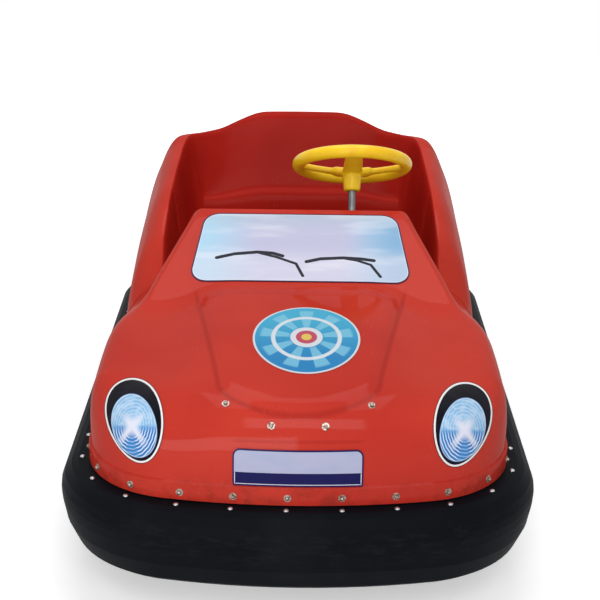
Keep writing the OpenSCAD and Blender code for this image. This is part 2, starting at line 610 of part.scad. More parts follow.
module bumper_rubber() {
    color([0.04, 0.045, 0.05])
    ring_run([35, 180], [0.9985, 0.9992]) polygon([[0, rubber_wide], [1.5, rubber_wide + 14],
        [9, rubber_wide + 34], [24, rubber_top - 6], [38, rubber_top],
        [band_inset - touch, rubber_top], [band_inset - touch, rubber_low + 22],
        [band_inset - 22, rubber_low], [44, rubber_low], [26, rubber_low + 14], [8, rubber_low + 56],
        [1.5, rubber_wide - 20]]);
}
module bumper_band() {
    color([0.3, 0.31, 0.33])
    ring_run([band_inset + band_thick / 2, (band_low + band_top) / 2], [0.98, 0.9992])
        translate([band_inset, band_low]) square([band_thick, band_top - band_low]);
}

// Frame
module inside_ring(z, h) {
    intersection() {
        children();
        translate([0, 0, z - 1]) linear_extrude(h + 2) plan_face(inner_inset);
    }
}
module frame_rail(side) {
    color([0.12, 0.12, 0.13]) inside_ring(rail_low, rail_size) difference() {
        translate([side * rail_x - rail_size / 2, -ring_reach, rail_low])
            cube([rail_size, 2 * ring_reach, rail_size]);
        translate([side * rail_x - rail_size / 2 + 3, -ring_reach - 1, rail_low + 3])
            cube([rail_size - 6, 2 * ring_reach + 2, rail_size - 6]);
    }
}
module frame_rail_left() { frame_rail(1); }
module frame_rail_right() { frame_rail(-1); }
module cross_bar(y) {
    color([0.12, 0.12, 0.13]) inside_ring(bar_low, bar_thick)
        translate([-ring_reach, y - bar_width / 2, bar_low]) cube([2 * ring_reach, bar_width, bar_thick]);
}
bulkhead_y = screen_base_y - 42;
lash_y = ring_reach - bar_rear;
module cross_bar_front() { cross_bar(bar_front - ring_reach); }
module cross_bar_bulkhead() { cross_bar(bulkhead_y); }
module cross_bar_seat() { cross_bar(bench_y + 8); }
module cross_bar_rear() {
    difference() {
        cross_bar(lash_y);
        translate([0, lash_y, bar_low - 1]) cylinder(r = lash_r, h = bar_thick + 2);
    }
}
module floor_plate() {
    // notched for the rear wheels
    w = inside_half - 2;
    n = rear_track - rear_width / 2 - 22;
    front = bulkhead_y - bar_width / 2;
    notch = axle_y - rear_r - 50;
    back = lash_y - bar_width;
    color([0.25, 0.26, 0.28]) translate([0, 0, floor_low]) linear_extrude(floor_thick)
        polygon([[-w, front], [w, front], [w, notch], [n, notch], [n, back], [-n, back], [-n, notch],
            [-w, notch]]);
}
module battery_block() {
    color([0.1, 0.1, 0.11]) translate([-battery_x / 2, bench_y + 43, floor_top + touch])
        cube([battery_x, battery_y, battery_z]);
}
module foot_pedal() {
    color([0.1, 0.1, 0.1]) translate([pedal_x - 40, pedal_y, floor_top + touch]) {
        cube([80, 130, 6]);
        translate([0, 4, 3]) rotate([28, 0, 0]) translate([0, 0, -1]) cube([80, 130, 8]);
        translate([30, 100, 3]) cube([20, 12, 48]);
    }
}

// Drive unit
bridge_z = drive_r * 2 + 46;
bridge_y = 70;
bush_low = bridge_z - 12;
bush_top = arm_z - 6;
module drive_bridge() {
    color([0.14, 0.14, 0.15]) difference() {
        union() {
            for (s = [-1, 1]) translate([s * rail_x - rail_size / 2, drive_y - 30, rail_top + touch])
                cube([rail_size, 60, bridge_z - rail_top - touch + 1]);
            translate([-rail_x - rail_size / 2, drive_y - bridge_y, bridge_z])
                cube([2 * rail_x + rail_size, 2 * bridge_y, 8]);
            translate([0, drive_y, bush_low]) cylinder(d = kingpin_d + 44, h = bush_top - bush_low);
        }
        translate([0, drive_y, bush_low - 1])
            cylinder(d = kingpin_d + 2 * shaft_fit, h = bush_top - bush_low + 2);
    }
}
fork_x = drive_width / 2 + 9;
fork_top = bush_low - 6;
module drive_fork() {
    color([0.5, 0.51, 0.53]) difference() {
        union() {
            for (s = [-1, 1]) translate([s > 0 ? fork_x : -fork_x - fork_plate, drive_y, 0]) {
                translate([0, -32, drive_r]) cube([fork_plate, 64, fork_top - drive_r]);
                translate([0, 0, drive_r]) rotate([0, 90, 0]) cylinder(d = 64, h = fork_plate);
            }
            translate([-fork_x - fork_plate, drive_y - 60, fork_top - 10])
                cube([2 * (fork_x + fork_plate), 120, 10]);
            translate([0, drive_y, fork_top - 2])
                cylinder(d = kingpin_d, h = arm_z + arm_thick - fork_top + 2);
        }
        translate([-fork_x - 20, drive_y, drive_r]) rotate([0, 90, 0])
            cylinder(d = drive_axle_d + 2 * shaft_fit, h = 2 * fork_x + 40);
    }
}
module arm(bore, boss, post) {
    // flat arm from a boss on its shaft to the pin of the drag link; post is what stands under the boss
    difference() {
        union() {
            linear_extrude(arm_thick) union() {
                circle(d = boss);
                translate([0, -arm_wide / 2]) square([arm_length, arm_wide]);
                translate([arm_length, 0]) circle(d = arm_tip_d);
            }
            translate([arm_length, 0, arm_thick - 2]) cylinder(d = link_pin, h = 16);
            if (post > 0) translate([0, 0, -post]) cylinder(d = boss - 10, h = post + 2);
        }
        if (bore > 0) translate([0, 0, -1]) cylinder(d = bore, h = arm_thick + 2);
    }
}
module kingpin_arm() {
    color([0.5, 0.51, 0.53]) translate([0, drive_y, arm_z]) rotate([0, 0, arm_angle])
        arm(kingpin_d + 2 * shaft_fit, kingpin_d + 24, 0);
}
module drive_hub() {
    color([0.6, 0.61, 0.63]) translate([0, drive_y, drive_r]) rotate([0, 90, 0]) {
        translate([0, 0, -drive_width / 2 + 4]) cylinder(r = drive_rim_r, h = drive_width - 8);
        translate([0, 0, -drive_width / 2]) cylinder(r = 52, h = drive_width);
        translate([0, 0, -fork_x - fork_plate - 6])
            cylinder(d = drive_axle_d, h = 2 * (fork_x + fork_plate + 6));
    }
}
module tyre(r, w, hub) {
    rotate([0, 90, 0]) rotate_extrude() difference() {
        polygon([[hub, -w / 2 + 5], [r - 18, -w / 2], [r - 6, -w / 2 + 4], [r, -w / 2 + 14], [r, w / 2 - 14],
            [r - 6, w / 2 - 4], [r - 18, w / 2], [hub, w / 2 - 5]]);
    }
}
module drive_tyre() {
    color([0.05, 0.05, 0.055]) translate([0, drive_y, drive_r])
        tyre(drive_r, drive_width, drive_rim_r + touch);
}

// Steering
module on_column() {
    translate([wheel_x, wheel_y, wheel_z]) rotate([-column_lean, 0, 0]) children();
}
ring_mid = (wheel_d - rim_d) / 2;
module steering_wheel() {
    color([0.95, 0.75, 0.08]) on_column() difference() {
        union() {
            rotate_extrude() translate([ring_mid, 0]) circle(d = rim_d);
            translate([0, 0, -74]) cylinder(d1 = 44, d2 = 54, h = 60);
            for (a = [-90, 0, 180]) rotate([0, 0, a]) translate([0, 0, -22]) rotate([0, 80, 0])
                linear_extrude(ring_mid) square([16, a == -90 ? 42 : 26], center = true);
        }
        translate([0, 0, -75]) cylinder(d = column_d + 0.2, h = 48);
    }
}
column_low = 225;
column_long = (wheel_z - column_low) / cos(column_lean);
module steering_shaft() {
    color([0.55, 0.55, 0.56]) on_column() translate([0, 0, -column_long])
        cylinder(d = column_d, h = column_long - 30);
}
module column_bracket() {
    color([0.12, 0.12, 0.13]) difference() {
        union() {
            on_column() translate([0, 0, -bush_at - 30]) cylinder(d = column_d + 20, h = 60);
            difference() {
                on_column() translate([-30, -160, -bush_at - 4]) cube([60, 160, 8]);
                translate([wheel_x - 100, dash_y + dash_thick / 2 + touch - 400, 0])
                    cube([200, 400, wheel_z]);
            }
        }
        on_column() translate([0, 0, -bush_at - 40]) cylinder(d = column_d + 2 * shaft_fit, h = 80);
    }
}
box_top = arm_z - 16;
module steering_gearbox() {
    color([0.35, 0.36, 0.38]) difference() {
        union() {
            translate([wheel_x - 45, box_y - 45, floor_top + touch]) cube([90, 125, 105]);
            translate([wheel_x, box_y, floor_top + touch]) cylinder(d = 56, h = box_top - floor_top - touch);
        }
        on_column() translate([0, 0, -column_long - 1]) cylinder(d = column_d + 2 * shaft_fit, h = 400);
    }
}
module drop_arm() {
    color([0.5, 0.51, 0.53]) translate([wheel_x, box_y, arm_z]) rotate([0, 0, arm_angle])
        arm(0, 40, arm_z - box_top - touch);
}
module drag_link() {
    tip = arm_length * [cos(arm_angle), sin(arm_angle)];
    z = arm_z + arm_thick + 1;
    color([0.6, 0.6, 0.62]) translate([tip[0], drive_y + tip[1], z])
    rotate([0, 0, arm_angle + 90]) difference() {
        union() {
            for (x = [0, link_length]) translate([x, 0, 0]) cylinder(d = 28, h = 10);
            translate([0, -8, 0]) cube([link_length, 16, 10]);
        }
        for (x = [0, link_length]) translate([x, 0, -1]) cylinder(d = link_pin + 2 * shaft_fit, h = 12);
    }
}

// Rear wheels
module rear_axle() {
    half = rear_track + rear_width / 2 + 12;
    color([0.5, 0.51, 0.53]) translate([-half, axle_y, rear_r]) rotate([0, 90, 0])
        cylinder(d = axle_d, h = 2 * half);
}
module axle_bracket(side) {
    color([0.14, 0.14, 0.15]) difference() {
        union() {
            translate([side * rail_x - 20, axle_y - 45, rail_low - touch - 8]) cube([40, 90, 8]);
            translate([side * rail_x - 14, axle_y, rear_r]) rotate([0, 90, 0]) cylinder(d = 46, h = 28);
        }
        translate([side * rail_x - 30, axle_y, rear_r]) rotate([0, 90, 0]) cylinder(d = axle_d + 0.2, h = 60);
        translate([side * rail_x - 30, axle_y - 60, rail_low - touch]) cube([60, 120, 60]);
    }
}
module axle_bracket_left() { axle_bracket(1); }
module axle_bracket_right() { axle_bracket(-1); }
module rear_hub(side) {
    color([0.75, 0.75, 0.76]) translate([side * rear_track, axle_y, rear_r]) rotate([0, 90, 0]) difference() {
        union() {
            translate([0, 0, -rear_width / 2 + 4]) cylinder(r = rear_rim_r, h = rear_width - 8);
            translate([0, 0, -rear_width / 2 - 4]) cylinder(r = 25, h = rear_width + 8);
        }
        translate([0, 0, -50]) cylinder(d = axle_d + 2 * shaft_fit, h = 100);
        for (s = [-1, 1]) translate([0, 0, s > 0 ? rear_width / 2 - 14 : -rear_width / 2]) difference() {
            cylinder(r = 54, h = 14);
            translate([0, 0, -1]) cylinder(r = 28, h = 16);
        }
    }
}
module rear_hub_left() { rear_hub(1); }
module rear_hub_right() { rear_hub(-1); }
module rear_tyre(side) {
    color([0.05, 0.05, 0.055]) translate([side * rear_track, axle_y, rear_r])
        tyre(rear_r, rear_width, rear_rim_r + touch);
}
module rear_tyre_left() { rear_tyre(1); }
module rear_tyre_right() { rear_tyre(-1); }

body_shell();
cockpit_tub();
dash_panel();
windscreen_panel();
headlamp_field_left();
headlamp_field_right();
headlamp_lens_left();
headlamp_lens_right();
number_plate();
bonnet_sticker();
bumper_rubber();
bumper_band();
frame_rail_left();
frame_rail_right();
cross_bar_front();
cross_bar_bulkhead();
cross_bar_seat();
cross_bar_rear();
floor_plate();
battery_block();
foot_pedal();
drive_bridge();
drive_fork();
kingpin_arm();
drive_hub();
drive_tyre();
steering_wheel();
steering_shaft();
column_bracket();
steering_gearbox();
drop_arm();
drag_link();
rear_axle();
axle_bracket_left();
axle_bracket_right();
rear_hub_left();
rear_hub_right();
rear_tyre_left();
rear_tyre_right();
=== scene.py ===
"""Looks of a two-seat battery bumper car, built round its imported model."""

import math

import bmesh
import bpy
import numpy as np
from mathutils import Matrix, Vector


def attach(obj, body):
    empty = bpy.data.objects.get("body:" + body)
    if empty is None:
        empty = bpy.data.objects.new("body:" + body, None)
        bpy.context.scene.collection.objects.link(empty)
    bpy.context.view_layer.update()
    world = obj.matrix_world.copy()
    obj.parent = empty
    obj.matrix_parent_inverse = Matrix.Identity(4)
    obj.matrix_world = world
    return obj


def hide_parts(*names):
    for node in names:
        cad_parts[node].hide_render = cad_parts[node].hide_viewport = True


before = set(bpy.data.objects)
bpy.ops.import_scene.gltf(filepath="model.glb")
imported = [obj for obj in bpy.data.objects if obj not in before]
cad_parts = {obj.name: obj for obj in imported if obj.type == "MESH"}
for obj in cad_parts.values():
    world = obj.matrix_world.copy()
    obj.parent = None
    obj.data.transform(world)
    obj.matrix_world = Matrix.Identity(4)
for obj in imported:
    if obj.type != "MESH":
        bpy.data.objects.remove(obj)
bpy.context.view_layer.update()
MM = 0.001
hands = ((1, "left"), (-1, "right"))

# Sizes in mm, front towards -Y, floor at 0
ring_reach = 944.0
front_corner = (222.0, 312.0 - ring_reach, 290.0)
rear_corner = (245.0, ring_reach - 364.0, 330.0)
rubber_top = 262.0
skirt_inset, skirt_low, skirt_high, crease_in = 62.0, 265.0, 36.0, 5.0
shell_thick, seam = 5.0, 0.12
bonnet_tip = (89.0 - ring_reach, 447.0)
screen_base = (-278.0, 520.0)
screen_top = (-20.0, 650.0)
cowl_top_z, cowl_half, cowl_flare, cowl_fall = 660.0, 272.0, 0.1, 2.1
panel_half, panel_nose, panel_y, panel_taper = 153.0, 92.0, -740.0, 0.19
panel_rise, fender_drop = 9.0, 30.0
bench_z, bench_y, inside_half = 400.0, 292.0, 376.0
back_top_z, back_top_y, back_bow, back_half = 800.0, 772.0, 84.0, 352.0
side_from, side_to = 2.56, 3.5
foot_z, tub_thick, wall_from = 173.9, 4.0, 0.86
tub_seat = tub_thick + seam
mat_front, mat_back, mat_inside, mat_low, mat_thick, mat_rib = -348.0, 20.0, 362.0, 170.1, 3.0, 1.2
band_inset, apron_high = skirt_inset + 11.6, 330.0
drive_y, drive_r, drive_width = -520.0, 125.0, 80.0
axle_y, rear_r, rear_width, rear_track = 480.0, 100.0, 60.0, 330.0
drive_rim_r, rear_rim_r = 78.3, 62.3
wheel_centre = (139.0, 184.0, 739.0)
column_lean, wheel_d, rim_d = 25.0, 330.0, 35.0
lamp_f, lamp_up, lamp_tilt, lamp_lean = 1.26, 0.745, 24.0, 0.2
field_egg, lens_egg = (62.0, 85.0, 0.13, 0.0), (48.0, 62.0, 0.0, -12.0)
sticker_x, sticker_y, sticker_half, sticker_long = 15.0, screen_base[0] - 297.0, 116.0, 155.0
screen_half_top, screen_half_foot, screen_high, screen_low = 248.0, 273.0, -24.0, -256.0
plate_half, plate_low, plate_high, plate_crease = 128.0, 1.0, 77.0, 394.5
print_lift, print_thick, lens_lift, lens_thick, plate_thick = 0.8, 1.2, 2.9, 1.6, 2.0
skirt_bolt_gap, skirt_bolt_start, skirt_bolt_w, body_bolt_scale = 108.0, -20.0, 0.45, 0.68
rubber_bolt_inset, rubber_bolt_gap, rubber_bolt_start, rubber_bolt_scale = 47.0, 110.0, -22.0, 0.6
nose_bolt_places = ((0.2, 2.58), (0.56, 2.85))
photo_place, photo_pitch, photo_roll, photo_lens = (0, -2.792, 1.302), 17.8, 0.7, 65.4
floor_half, world_light = 12, 0.32
crease_z = skirt_low + skirt_high
deck_z = crease_z + 3


# The moulding's rules
def ease(a, b, t):
    u = np.clip((t - a) / (b - a), 0, 1)
    return u * u * (3 - 2 * u)


def smax(a, b, k):
    h = np.maximum(k - np.abs(a - b), 0) / k
    return np.maximum(a, b) + h * h * k / 4


def smin(a, b, k):
    return -smax(-a, -b, k)


def slopes(d):
    """Slopes at the rows of a table from the slopes d between them, so that nothing overshoots."""
    both = d[:-1] * d[1:]
    total = np.where(both > 0, d[:-1] + d[1:], 1)
    return np.concatenate([d[:1], np.where(both > 0, 2 * both / total, 0), d[-1:]])


def hermite(u, a, b, m, n):
    """Place at share u between a and b, leaving a with slope m and reaching b with slope n."""
    v = 1 - u
    return (1 + 2 * u) * v * v * a + u * v * v * m + u * u * (3 - 2 * u) * b - u * u * v * n


def paired(a, b):
    return np.broadcast_arrays(np.asarray(a, float), np.asarray(b, float))


def points_of(*parts):
    """Points from their coordinates, which are spread to one shape."""
    return np.stack(np.broadcast_arrays(*parts), -1)


def unit(n):
    return n / np.maximum(np.linalg.norm(n, axis=-1, keepdims=True), 1e-12)


class Line:
    """A smooth line through a short table whose first column rises; it never overshoots."""

    def __init__(self, *rows):
        self.t, *self.c = [np.array(c, float) for c in zip(*rows)]

    def at(self, t, column=0):
        x, y = self.t, self.c[column]
        m = slopes(np.diff(y) / np.diff(x))
        t = np.clip(np.asarray(t, float), x[0], x[-1])
        i = np.clip(np.searchsorted(x, t, side="right") - 1, 0, len(x) - 2)
        h = x[i + 1] - x[i]
        return hermite((t - x[i]) / h, y[i], y[i + 1], h * m[i], h * m[i + 1])


def crown(corner):
    x, y, r = corner
    reach = ring_reach - abs(y)
    return (x * x + reach * reach - r * r) / (2 * (reach - r))


front_r, back_r = crown(front_corner), crown(rear_corner)
front_y, back_y = front_r - ring_reach, ring_reach - back_r
front_turn = math.atan2(front_corner[0], front_y - front_corner[1])
rear_turn = math.atan2(rear_corner[0], rear_corner[1] - back_y)
side_vec = (rear_corner[0] - front_corner[0], rear_corner[1] - front_corner[1])
side_lean = math.acos((front_corner[2] - rear_corner[2]) / math.hypot(*side_vec))
side_turn = math.pi / 2 + math.atan2(side_vec[1], side_vec[0]) - side_lean


def plan_at(inset, f):
    """Outline of the rubber moved in by inset.

    f is 0 at the front tip, 1 to 2 round the front corner, 3 to 4 round the rear one and 5 at the rear tip.
    """
    inset, f = paired(inset, f)

    def arc(cx, cy, r, a):
        return points_of(cx + (r - inset) * np.sin(a), cy - (r - inset) * np.cos(a))

    corner = arc(*front_corner, front_turn + (f - 1) * (side_turn - front_turn))
    rear = arc(*rear_corner, side_turn + (f - 3) * (math.pi - side_turn - rear_turn))
    a, b = arc(*front_corner, side_turn), arc(*rear_corner, side_turn)
    g = f[..., None]
    side = a + (g - 2) * (b - a)
    front = arc(0, front_y, front_r, f * front_turn)
    back = arc(0, back_y, back_r, math.pi - rear_turn + (f - 4) * rear_turn)
    return np.select([g <= 1, g <= 2, g <= 3, g <= 4], [front, corner, side, rear], back)


# Heights along the car of the wings' rims, and how far the backrest's top falls away across it
wing_line = Line(
    (-60, 450), (40, 456), (100, 545), (180, 592), (285, 640), (400, 672), (528, 700), (719, 738),
    (900, 738),
)
back_line = Line((0, 0), (112, 0), (140, 3), (168, 11), (200, 24), (275, 54), (345, 63), (420, 62))
bonnet_line = Line(
    (-ring_reach, bonnet_tip[1] - 17), bonnet_tip, (-699, bonnet_tip[1] + 31), (-500, screen_base[1] - 16),
    screen_base, (-120, 500), (0, 478), (60, 440), (200, 430),
)
# Round the plan: width and squareness of the rounded edge, then the rim of the cockpit
edge_line = Line(
    (0, 66, 2.5), (0.56, 84, 2.6), (0.97, 150, 3), (1.29, 186, 3.7), (1.6, 170, 3.7), (2, 88, 3.7),
    (2.15, 84, 3.3), (2.35, 126, 1.9), (2.6, 122, 1.75), (3, 138, 1.75), (3.5, 105, 1.9), (5, 105, 2.5),
)
rim_line = Line(
    (0, 0, 0), (1, 103, 0), (1.3, 135, 0), (1.65, 195, 0), (2, 262, 0), (2.2, 296, 4), (2.36, 345, 14),
    (2.46, 372, 34), (side_from, inside_half, 90), (3, inside_half - 4, 560), (side_to, back_half, 690),
    (3.75, 300, 719), (4, 225, 749), (5, 0, back_top_y),
)


def panel_gap(x, y):
    """Distance from the bonnet panel's edge, negative on the panel."""
    ahead = (panel_y - y) / panel_nose
    across = x / panel_half
    far = np.maximum(np.hypot(across, ahead), 1e-6)
    slope = np.maximum(np.hypot(across / panel_half, ahead / panel_nose), 1e-6)
    beside = np.abs(x) - panel_half - panel_taper * (y - panel_y)
    return np.where(y < panel_y, far * (far - 1) / slope, beside)


def bonnet_h(x, y):
    tip, foot = bonnet_tip[0], screen_base[0]
    live = ease(tip - 25, tip + 15, y) * ease(foot + 18, foot - 52, y)
    side = ease(150, 330, np.abs(x)) * ease(tip - 75, tip + 255, y)
    return bonnet_line.at(y) - fender_drop * side + panel_rise * ease(14, -14, panel_gap(x, y)) * live


def screen_h(x, y):
    rise = (screen_top[1] - screen_base[1]) / (screen_top[0] - screen_base[0])
    plane = screen_base[1] + (y - screen_base[0]) * rise
    half = cowl_half + cowl_flare * np.maximum(0, screen_top[0] - y)
    return smin(smin(plane, cowl_top_z, 24), cowl_top_z + 6 - cowl_fall * (np.abs(x) - half), 40)


def wing_h(x, y):
    t = ease(600, 715, y)
    return (1 - t) * wing_line.at(y) + t * (back_top_z - back_line.at(np.abs(x)))


def top_h(x, y):
    front = smax(smax(bonnet_h(x, y), screen_h(x, y), 26), wing_h(x, y) - 2000 * ease(40, -60, y), 10)
    return np.where(y > 60, wing_h(x, y), front)


def side_half(y):
    near = inside_half - 4 * np.clip((y - 90) / 470, 0, 1)
    return np.where(y < 560, near, inside_half - 4 - 20 * np.clip((y - 560) / 130, 0, 1) ** 2)


def back_edge_y(x):
    return back_top_y - back_bow * (np.abs(x) / back_half) ** 3


def rim_plan(f):
    x, y = rim_line.at(f, 0), rim_line.at(f, 1)
    x2 = np.where((f > side_from) & (f < side_to), side_half(y), x)
    return points_of(x2, np.where(f >= side_to, back_edge_y(x), y))


def edge_width(f):
    return np.minimum(edge_line.at(f), 0.9 * np.linalg.norm(rim_plan(f) - plan_at(skirt_inset, f), axis=-1))


def superq(s, f):
    """Rounding of the edge: 2 is a plain quarter round, more is squarer."""
    return np.maximum(s, 0) ** (2 / edge_line.at(f, 1))


def body_at(f, w):
    """Point on the body; w goes up: 0 skirt's foot, 1 its top, 2 crease, 3 end of the edge, 4 rim."""
    f, w = paired(f, w)
    a = np.clip(w - 2, 0, 1) * math.pi / 2
    width = edge_width(f)
    step = np.clip(w - 1, 0, 1)
    inset = skirt_inset + crease_in * step + (width - crease_in) * (1 - superq(np.cos(a), f))
    p = plan_at(inset, f)
    end = plan_at(skirt_inset + width, f)
    rim = rim_plan(f)
    fold = (screen_base[0] + 4 - end[..., 1]) / np.maximum(1, rim[..., 1] - end[..., 1])
    m = np.where(f > 2.3, 0.5, np.clip(fold, 0.3, 0.85))
    s = ease(2.3, 2.1, f) * m + ease(2.1, 2.3, f) * 0.5
    t = np.clip(w - 3, 0, 1)
    share = np.where(t <= 0.5, 2 * t * s, s + (2 * t - 1) * (1 - s))
    p = np.where((w > 3)[..., None], end + share[..., None] * (rim - end), p)
    top = top_h(p[..., 0], p[..., 1])
    foot = skirt_low + skirt_high * np.clip(w, 0, 1) + 3 * step
    z = np.where(w <= 2, foot, np.where(w <= 3, deck_z + (top - deck_z) * superq(np.sin(a), f), top))
    return np.concatenate([p, z[..., None]], -1)


def body_n(f, w):
    """Outward normals of the body; above the edge they point up, where the rim's corners would fold."""
    f, w = paired(f, w)
    e = 0.004
    n = np.cross(
        body_at(np.minimum(5, f + e), w) - body_at(np.maximum(0, f - e), w),
        body_at(f, np.minimum(4, w + e)) - body_at(f, np.maximum(0, w - e)),
    )
    n[..., 0] = np.where((f <= 0) | (f >= 5), 0, n[..., 0])
    return unit(np.where(((w > 3) & (n[..., 2] < 0))[..., None], -n, n))


# Meshes
scene = bpy.context.scene
sharp_angle = math.radians(40)


def placed(name, data):
    obj = bpy.data.objects.new(name, data)
    scene.collection.objects.link(obj)
    return obj


def keep(name, mesh, body, *nodes, finish, slot=None, smooth=True):
    """Puts a finished mesh in the scene, riding on a body and standing for the named CAD nodes."""
    mesh.name = name
    obj = placed(name, mesh)
    if smooth:
        mesh.polygons.foreach_set("use_smooth", [True] * len(mesh.polygons))
        mesh.set_sharp_from_angle(angle=sharp_angle)
    mesh.materials.clear()
    mesh.materials.append(finish)
    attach(obj, body)
    if nodes:
        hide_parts(*nodes)


def add_map(mesh, name, places):
    """A map with a pair of numbers for each vertex."""
    layer = mesh.uv_layers.new(name=name)
    loops = np.empty(len(mesh.loops), int)
    mesh.loops.foreach_get("vertex_index", loops)
    layer.data.foreach_set("uv", np.asarray(places, float)[loops].ravel())


def mesh_from(points, faces, uv=None):
    mesh = bpy.data.meshes.new("piece")
    mesh.from_pydata((np.asarray(points) * MM).tolist(), [], faces)
    if uv is not None:
        add_map(mesh, "print", uv)
    mesh.update()
    return mesh


def grid_faces(rows, cols, wrap, first=0, flip=False):
    out = []
    for r in range(rows - 1):
        for c in range(cols if wrap else cols - 1):
            d = (c + 1) % cols
            q = [r * cols + c, r * cols + d, (r + 1) * cols + d, (r + 1) * cols + c]
            out.append([first + v for v in (q[::-1] if flip else q)])
    return out


def skin(outer, inner, wrap=False, uv=None, core=False):
    """Skin between two grids of points, closed all round, or open at its first row if that is a core."""
    rows, cols = outer.shape[:2]
    low, n = len(inner), rows * cols
    faces = grid_faces(rows, cols, wrap) + grid_faces(low, cols, wrap, n, True)
    a, b = (rows - 1) * cols, (low - 1) * cols + n
    for c in range(cols if wrap else cols - 1):
        d = (c + 1) % cols
        if not core:
            faces.append([d, c, c + n, d + n])
        faces.append([a + c, a + d, b + d, b + c])
    if not wrap:
        for r in range(rows - 1):
            a, b = r * cols, (r + 1) * cols
            faces.append([a, b, b + n, a + n])
            a, b = a + cols - 1, b + cols - 1
            faces.append([b, a, a + n, b + n])
    points = np.concatenate([outer.reshape(-1, 3), inner.reshape(-1, 3)])
    if uv is not None:
        uv = np.concatenate([uv.reshape(-1, 2)] * 2)
    return mesh_from(points, faces, uv)


def both_sides(p):
    """A half grid of points mirrored into a whole ring, front tip to front tip."""
    q = p[:, -2:0:-1].copy()
    q[..., 0] *= -1
    return np.concatenate([p, q], 1)


def steps_through(*spans):
    """Values from the first span's start to the last one's end, each span with its own count."""
    parts = [np.linspace(a, b, count)[:-1] for a, b, count in spans]
    return np.concatenate([*parts, [spans[-1][1]]])


round_steps = steps_through((0, 1, 34), (1, 2, 34), (2, 3, 62), (3, 4, 30), (4, 5, 24))
up_steps = np.concatenate([[0, 0.5, 0.93, 1, 1.2, 1.6], steps_through((2, 3, 26), (3, 4, 50))])
inner_steps = np.concatenate([[0, 1, 1.5], steps_through((2, 3, 12), (3, 4, 14))])


# Procedural finishes
def math_method(operation):
    """A method of Val that adds one Math node."""
    def method(self, *others):
        return self.maker.node("ShaderNodeMath", {"operation": operation}, self, *others)
    return method


class Val:
    """A number on a node's socket; arithmetic on it adds Math nodes."""

    def __init__(self, maker, socket):
        self.maker, self.socket = maker, socket

    __add__ = __radd__ = math_method("ADD")
    __mul__ = __rmul__ = math_method("MULTIPLY")
    __sub__, __truediv__, __abs__ = math_method("SUBTRACT"), math_method("DIVIDE"), math_method("ABSOLUTE")
    min, max, sin, sqrt = (math_method(name) for name in ("MINIMUM", "MAXIMUM", "SINE", "SQRT"))
    turn_from = math_method("ARCTAN2")

    def __rsub__(self, other):
        return self.maker.node("ShaderNodeMath", {"operation": "SUBTRACT"}, other, self)

    def over(self, low, high):
        """0 below low, 1 above high, smooth between; low may be the larger."""
        if low > high:
            return 1 - self.over(high, low)
        settings = {"interpolation_type": "SMOOTHSTEP", "clamp": True}
        return self.maker.node("ShaderNodeMapRange", settings, self, low, high, 0.0, 1.0)


class Nodes:
    """Short calls for the nodes and links of one tree."""

    def __init__(self, tree):
        self.tree = tree

    def put(self, socket, value):
        if isinstance(value, Val):
            value = value.socket
        if isinstance(value, bpy.types.NodeSocket):
            self.tree.links.new(value, socket)
        elif isinstance(value, (tuple, list)) and socket.type == "RGBA" and len(value) == 3:
            socket.default_value = (*value, 1)
        else:
            socket.default_value = value

    def node(self, kind, settings, *values, **named):
        made = self.tree.nodes.new(kind)
        for key, value in settings.items():
            setattr(made, key, value)
        for socket, value in zip(made.inputs, values):
            if value is not None:
                self.put(socket, value)
        for key, value in named.items():
            self.put(made.inputs[key], value)
        result = made.outputs[0]
        return Val(self, result) if result.type == "VALUE" else result

    def shown(self):
        """1 for rays by which the camera, metal or glass shows a thing, 0 for the rest."""
        path = self.tree.nodes.new("ShaderNodeLightPath")
        kinds = ("Camera", "Glossy", "Transmission")
        camera_ray, glossy, through = (Val(self, path.outputs[f"Is {kind} Ray"]) for kind in kinds)
        return camera_ray.max(glossy).max(through)


class Finish(Nodes):
    """One material: plain values go on the shader's own sockets, patterns are linked to them."""

    def __init__(self, name, **plain):
        self.material = bpy.data.materials.new(name)
        self.material.use_nodes = True
        super().__init__(self.material.node_tree)
        self.shader = self.tree.nodes["Principled BSDF"]
        for key, value in plain.items():
            self.set(key, value)
        at = self.tree.nodes.new("ShaderNodeTexCoord")
        self.place = at.outputs["Object"]
        self.uv = at.outputs["UV"]

    def set(self, key, value):
        self.put(self.shader.inputs[key.replace("_", " ")], value)

    def xyz(self, of=None):
        """The place on the piece as three numbers, in metres."""
        split = self.tree.nodes.new("ShaderNodeSeparateXYZ")
        self.tree.links.new(of or self.place, split.inputs[0])
        return [Val(self, o) for o in split.outputs]

    def noise(self, scale, detail=3.0, rough=0.55, stretch=None):
        at = self.place
        if stretch:
            at = self.node("ShaderNodeMapping", {}, at, None, None, stretch)
        return self.node("ShaderNodeTexNoise", {}, at, None, scale, detail, rough)

    def mix(self, colour, *layers):
        """A colour with others laid over it, each by its own share."""
        for over, share in layers:
            made = self.tree.nodes.new("ShaderNodeMix")
            made.data_type = "RGBA"
            for i, value in ((0, share), (6, colour), (7, over)):
                self.put(made.inputs[i], value)
            colour = made.outputs[2]
        return colour

    def done(self, base, rough=None, height=None, depth=0.0, strength=1.0):
        """The material with its base colour and, if given, its roughness and a bump."""
        self.set("Base_Color", base)
        if rough is not None:
            self.set("Roughness", rough)
        if height is not None:
            bump = self.node("ShaderNodeBump", {}, Strength=strength, Distance=depth, Height=height)
            self.set("Normal", bump)
        return self.material


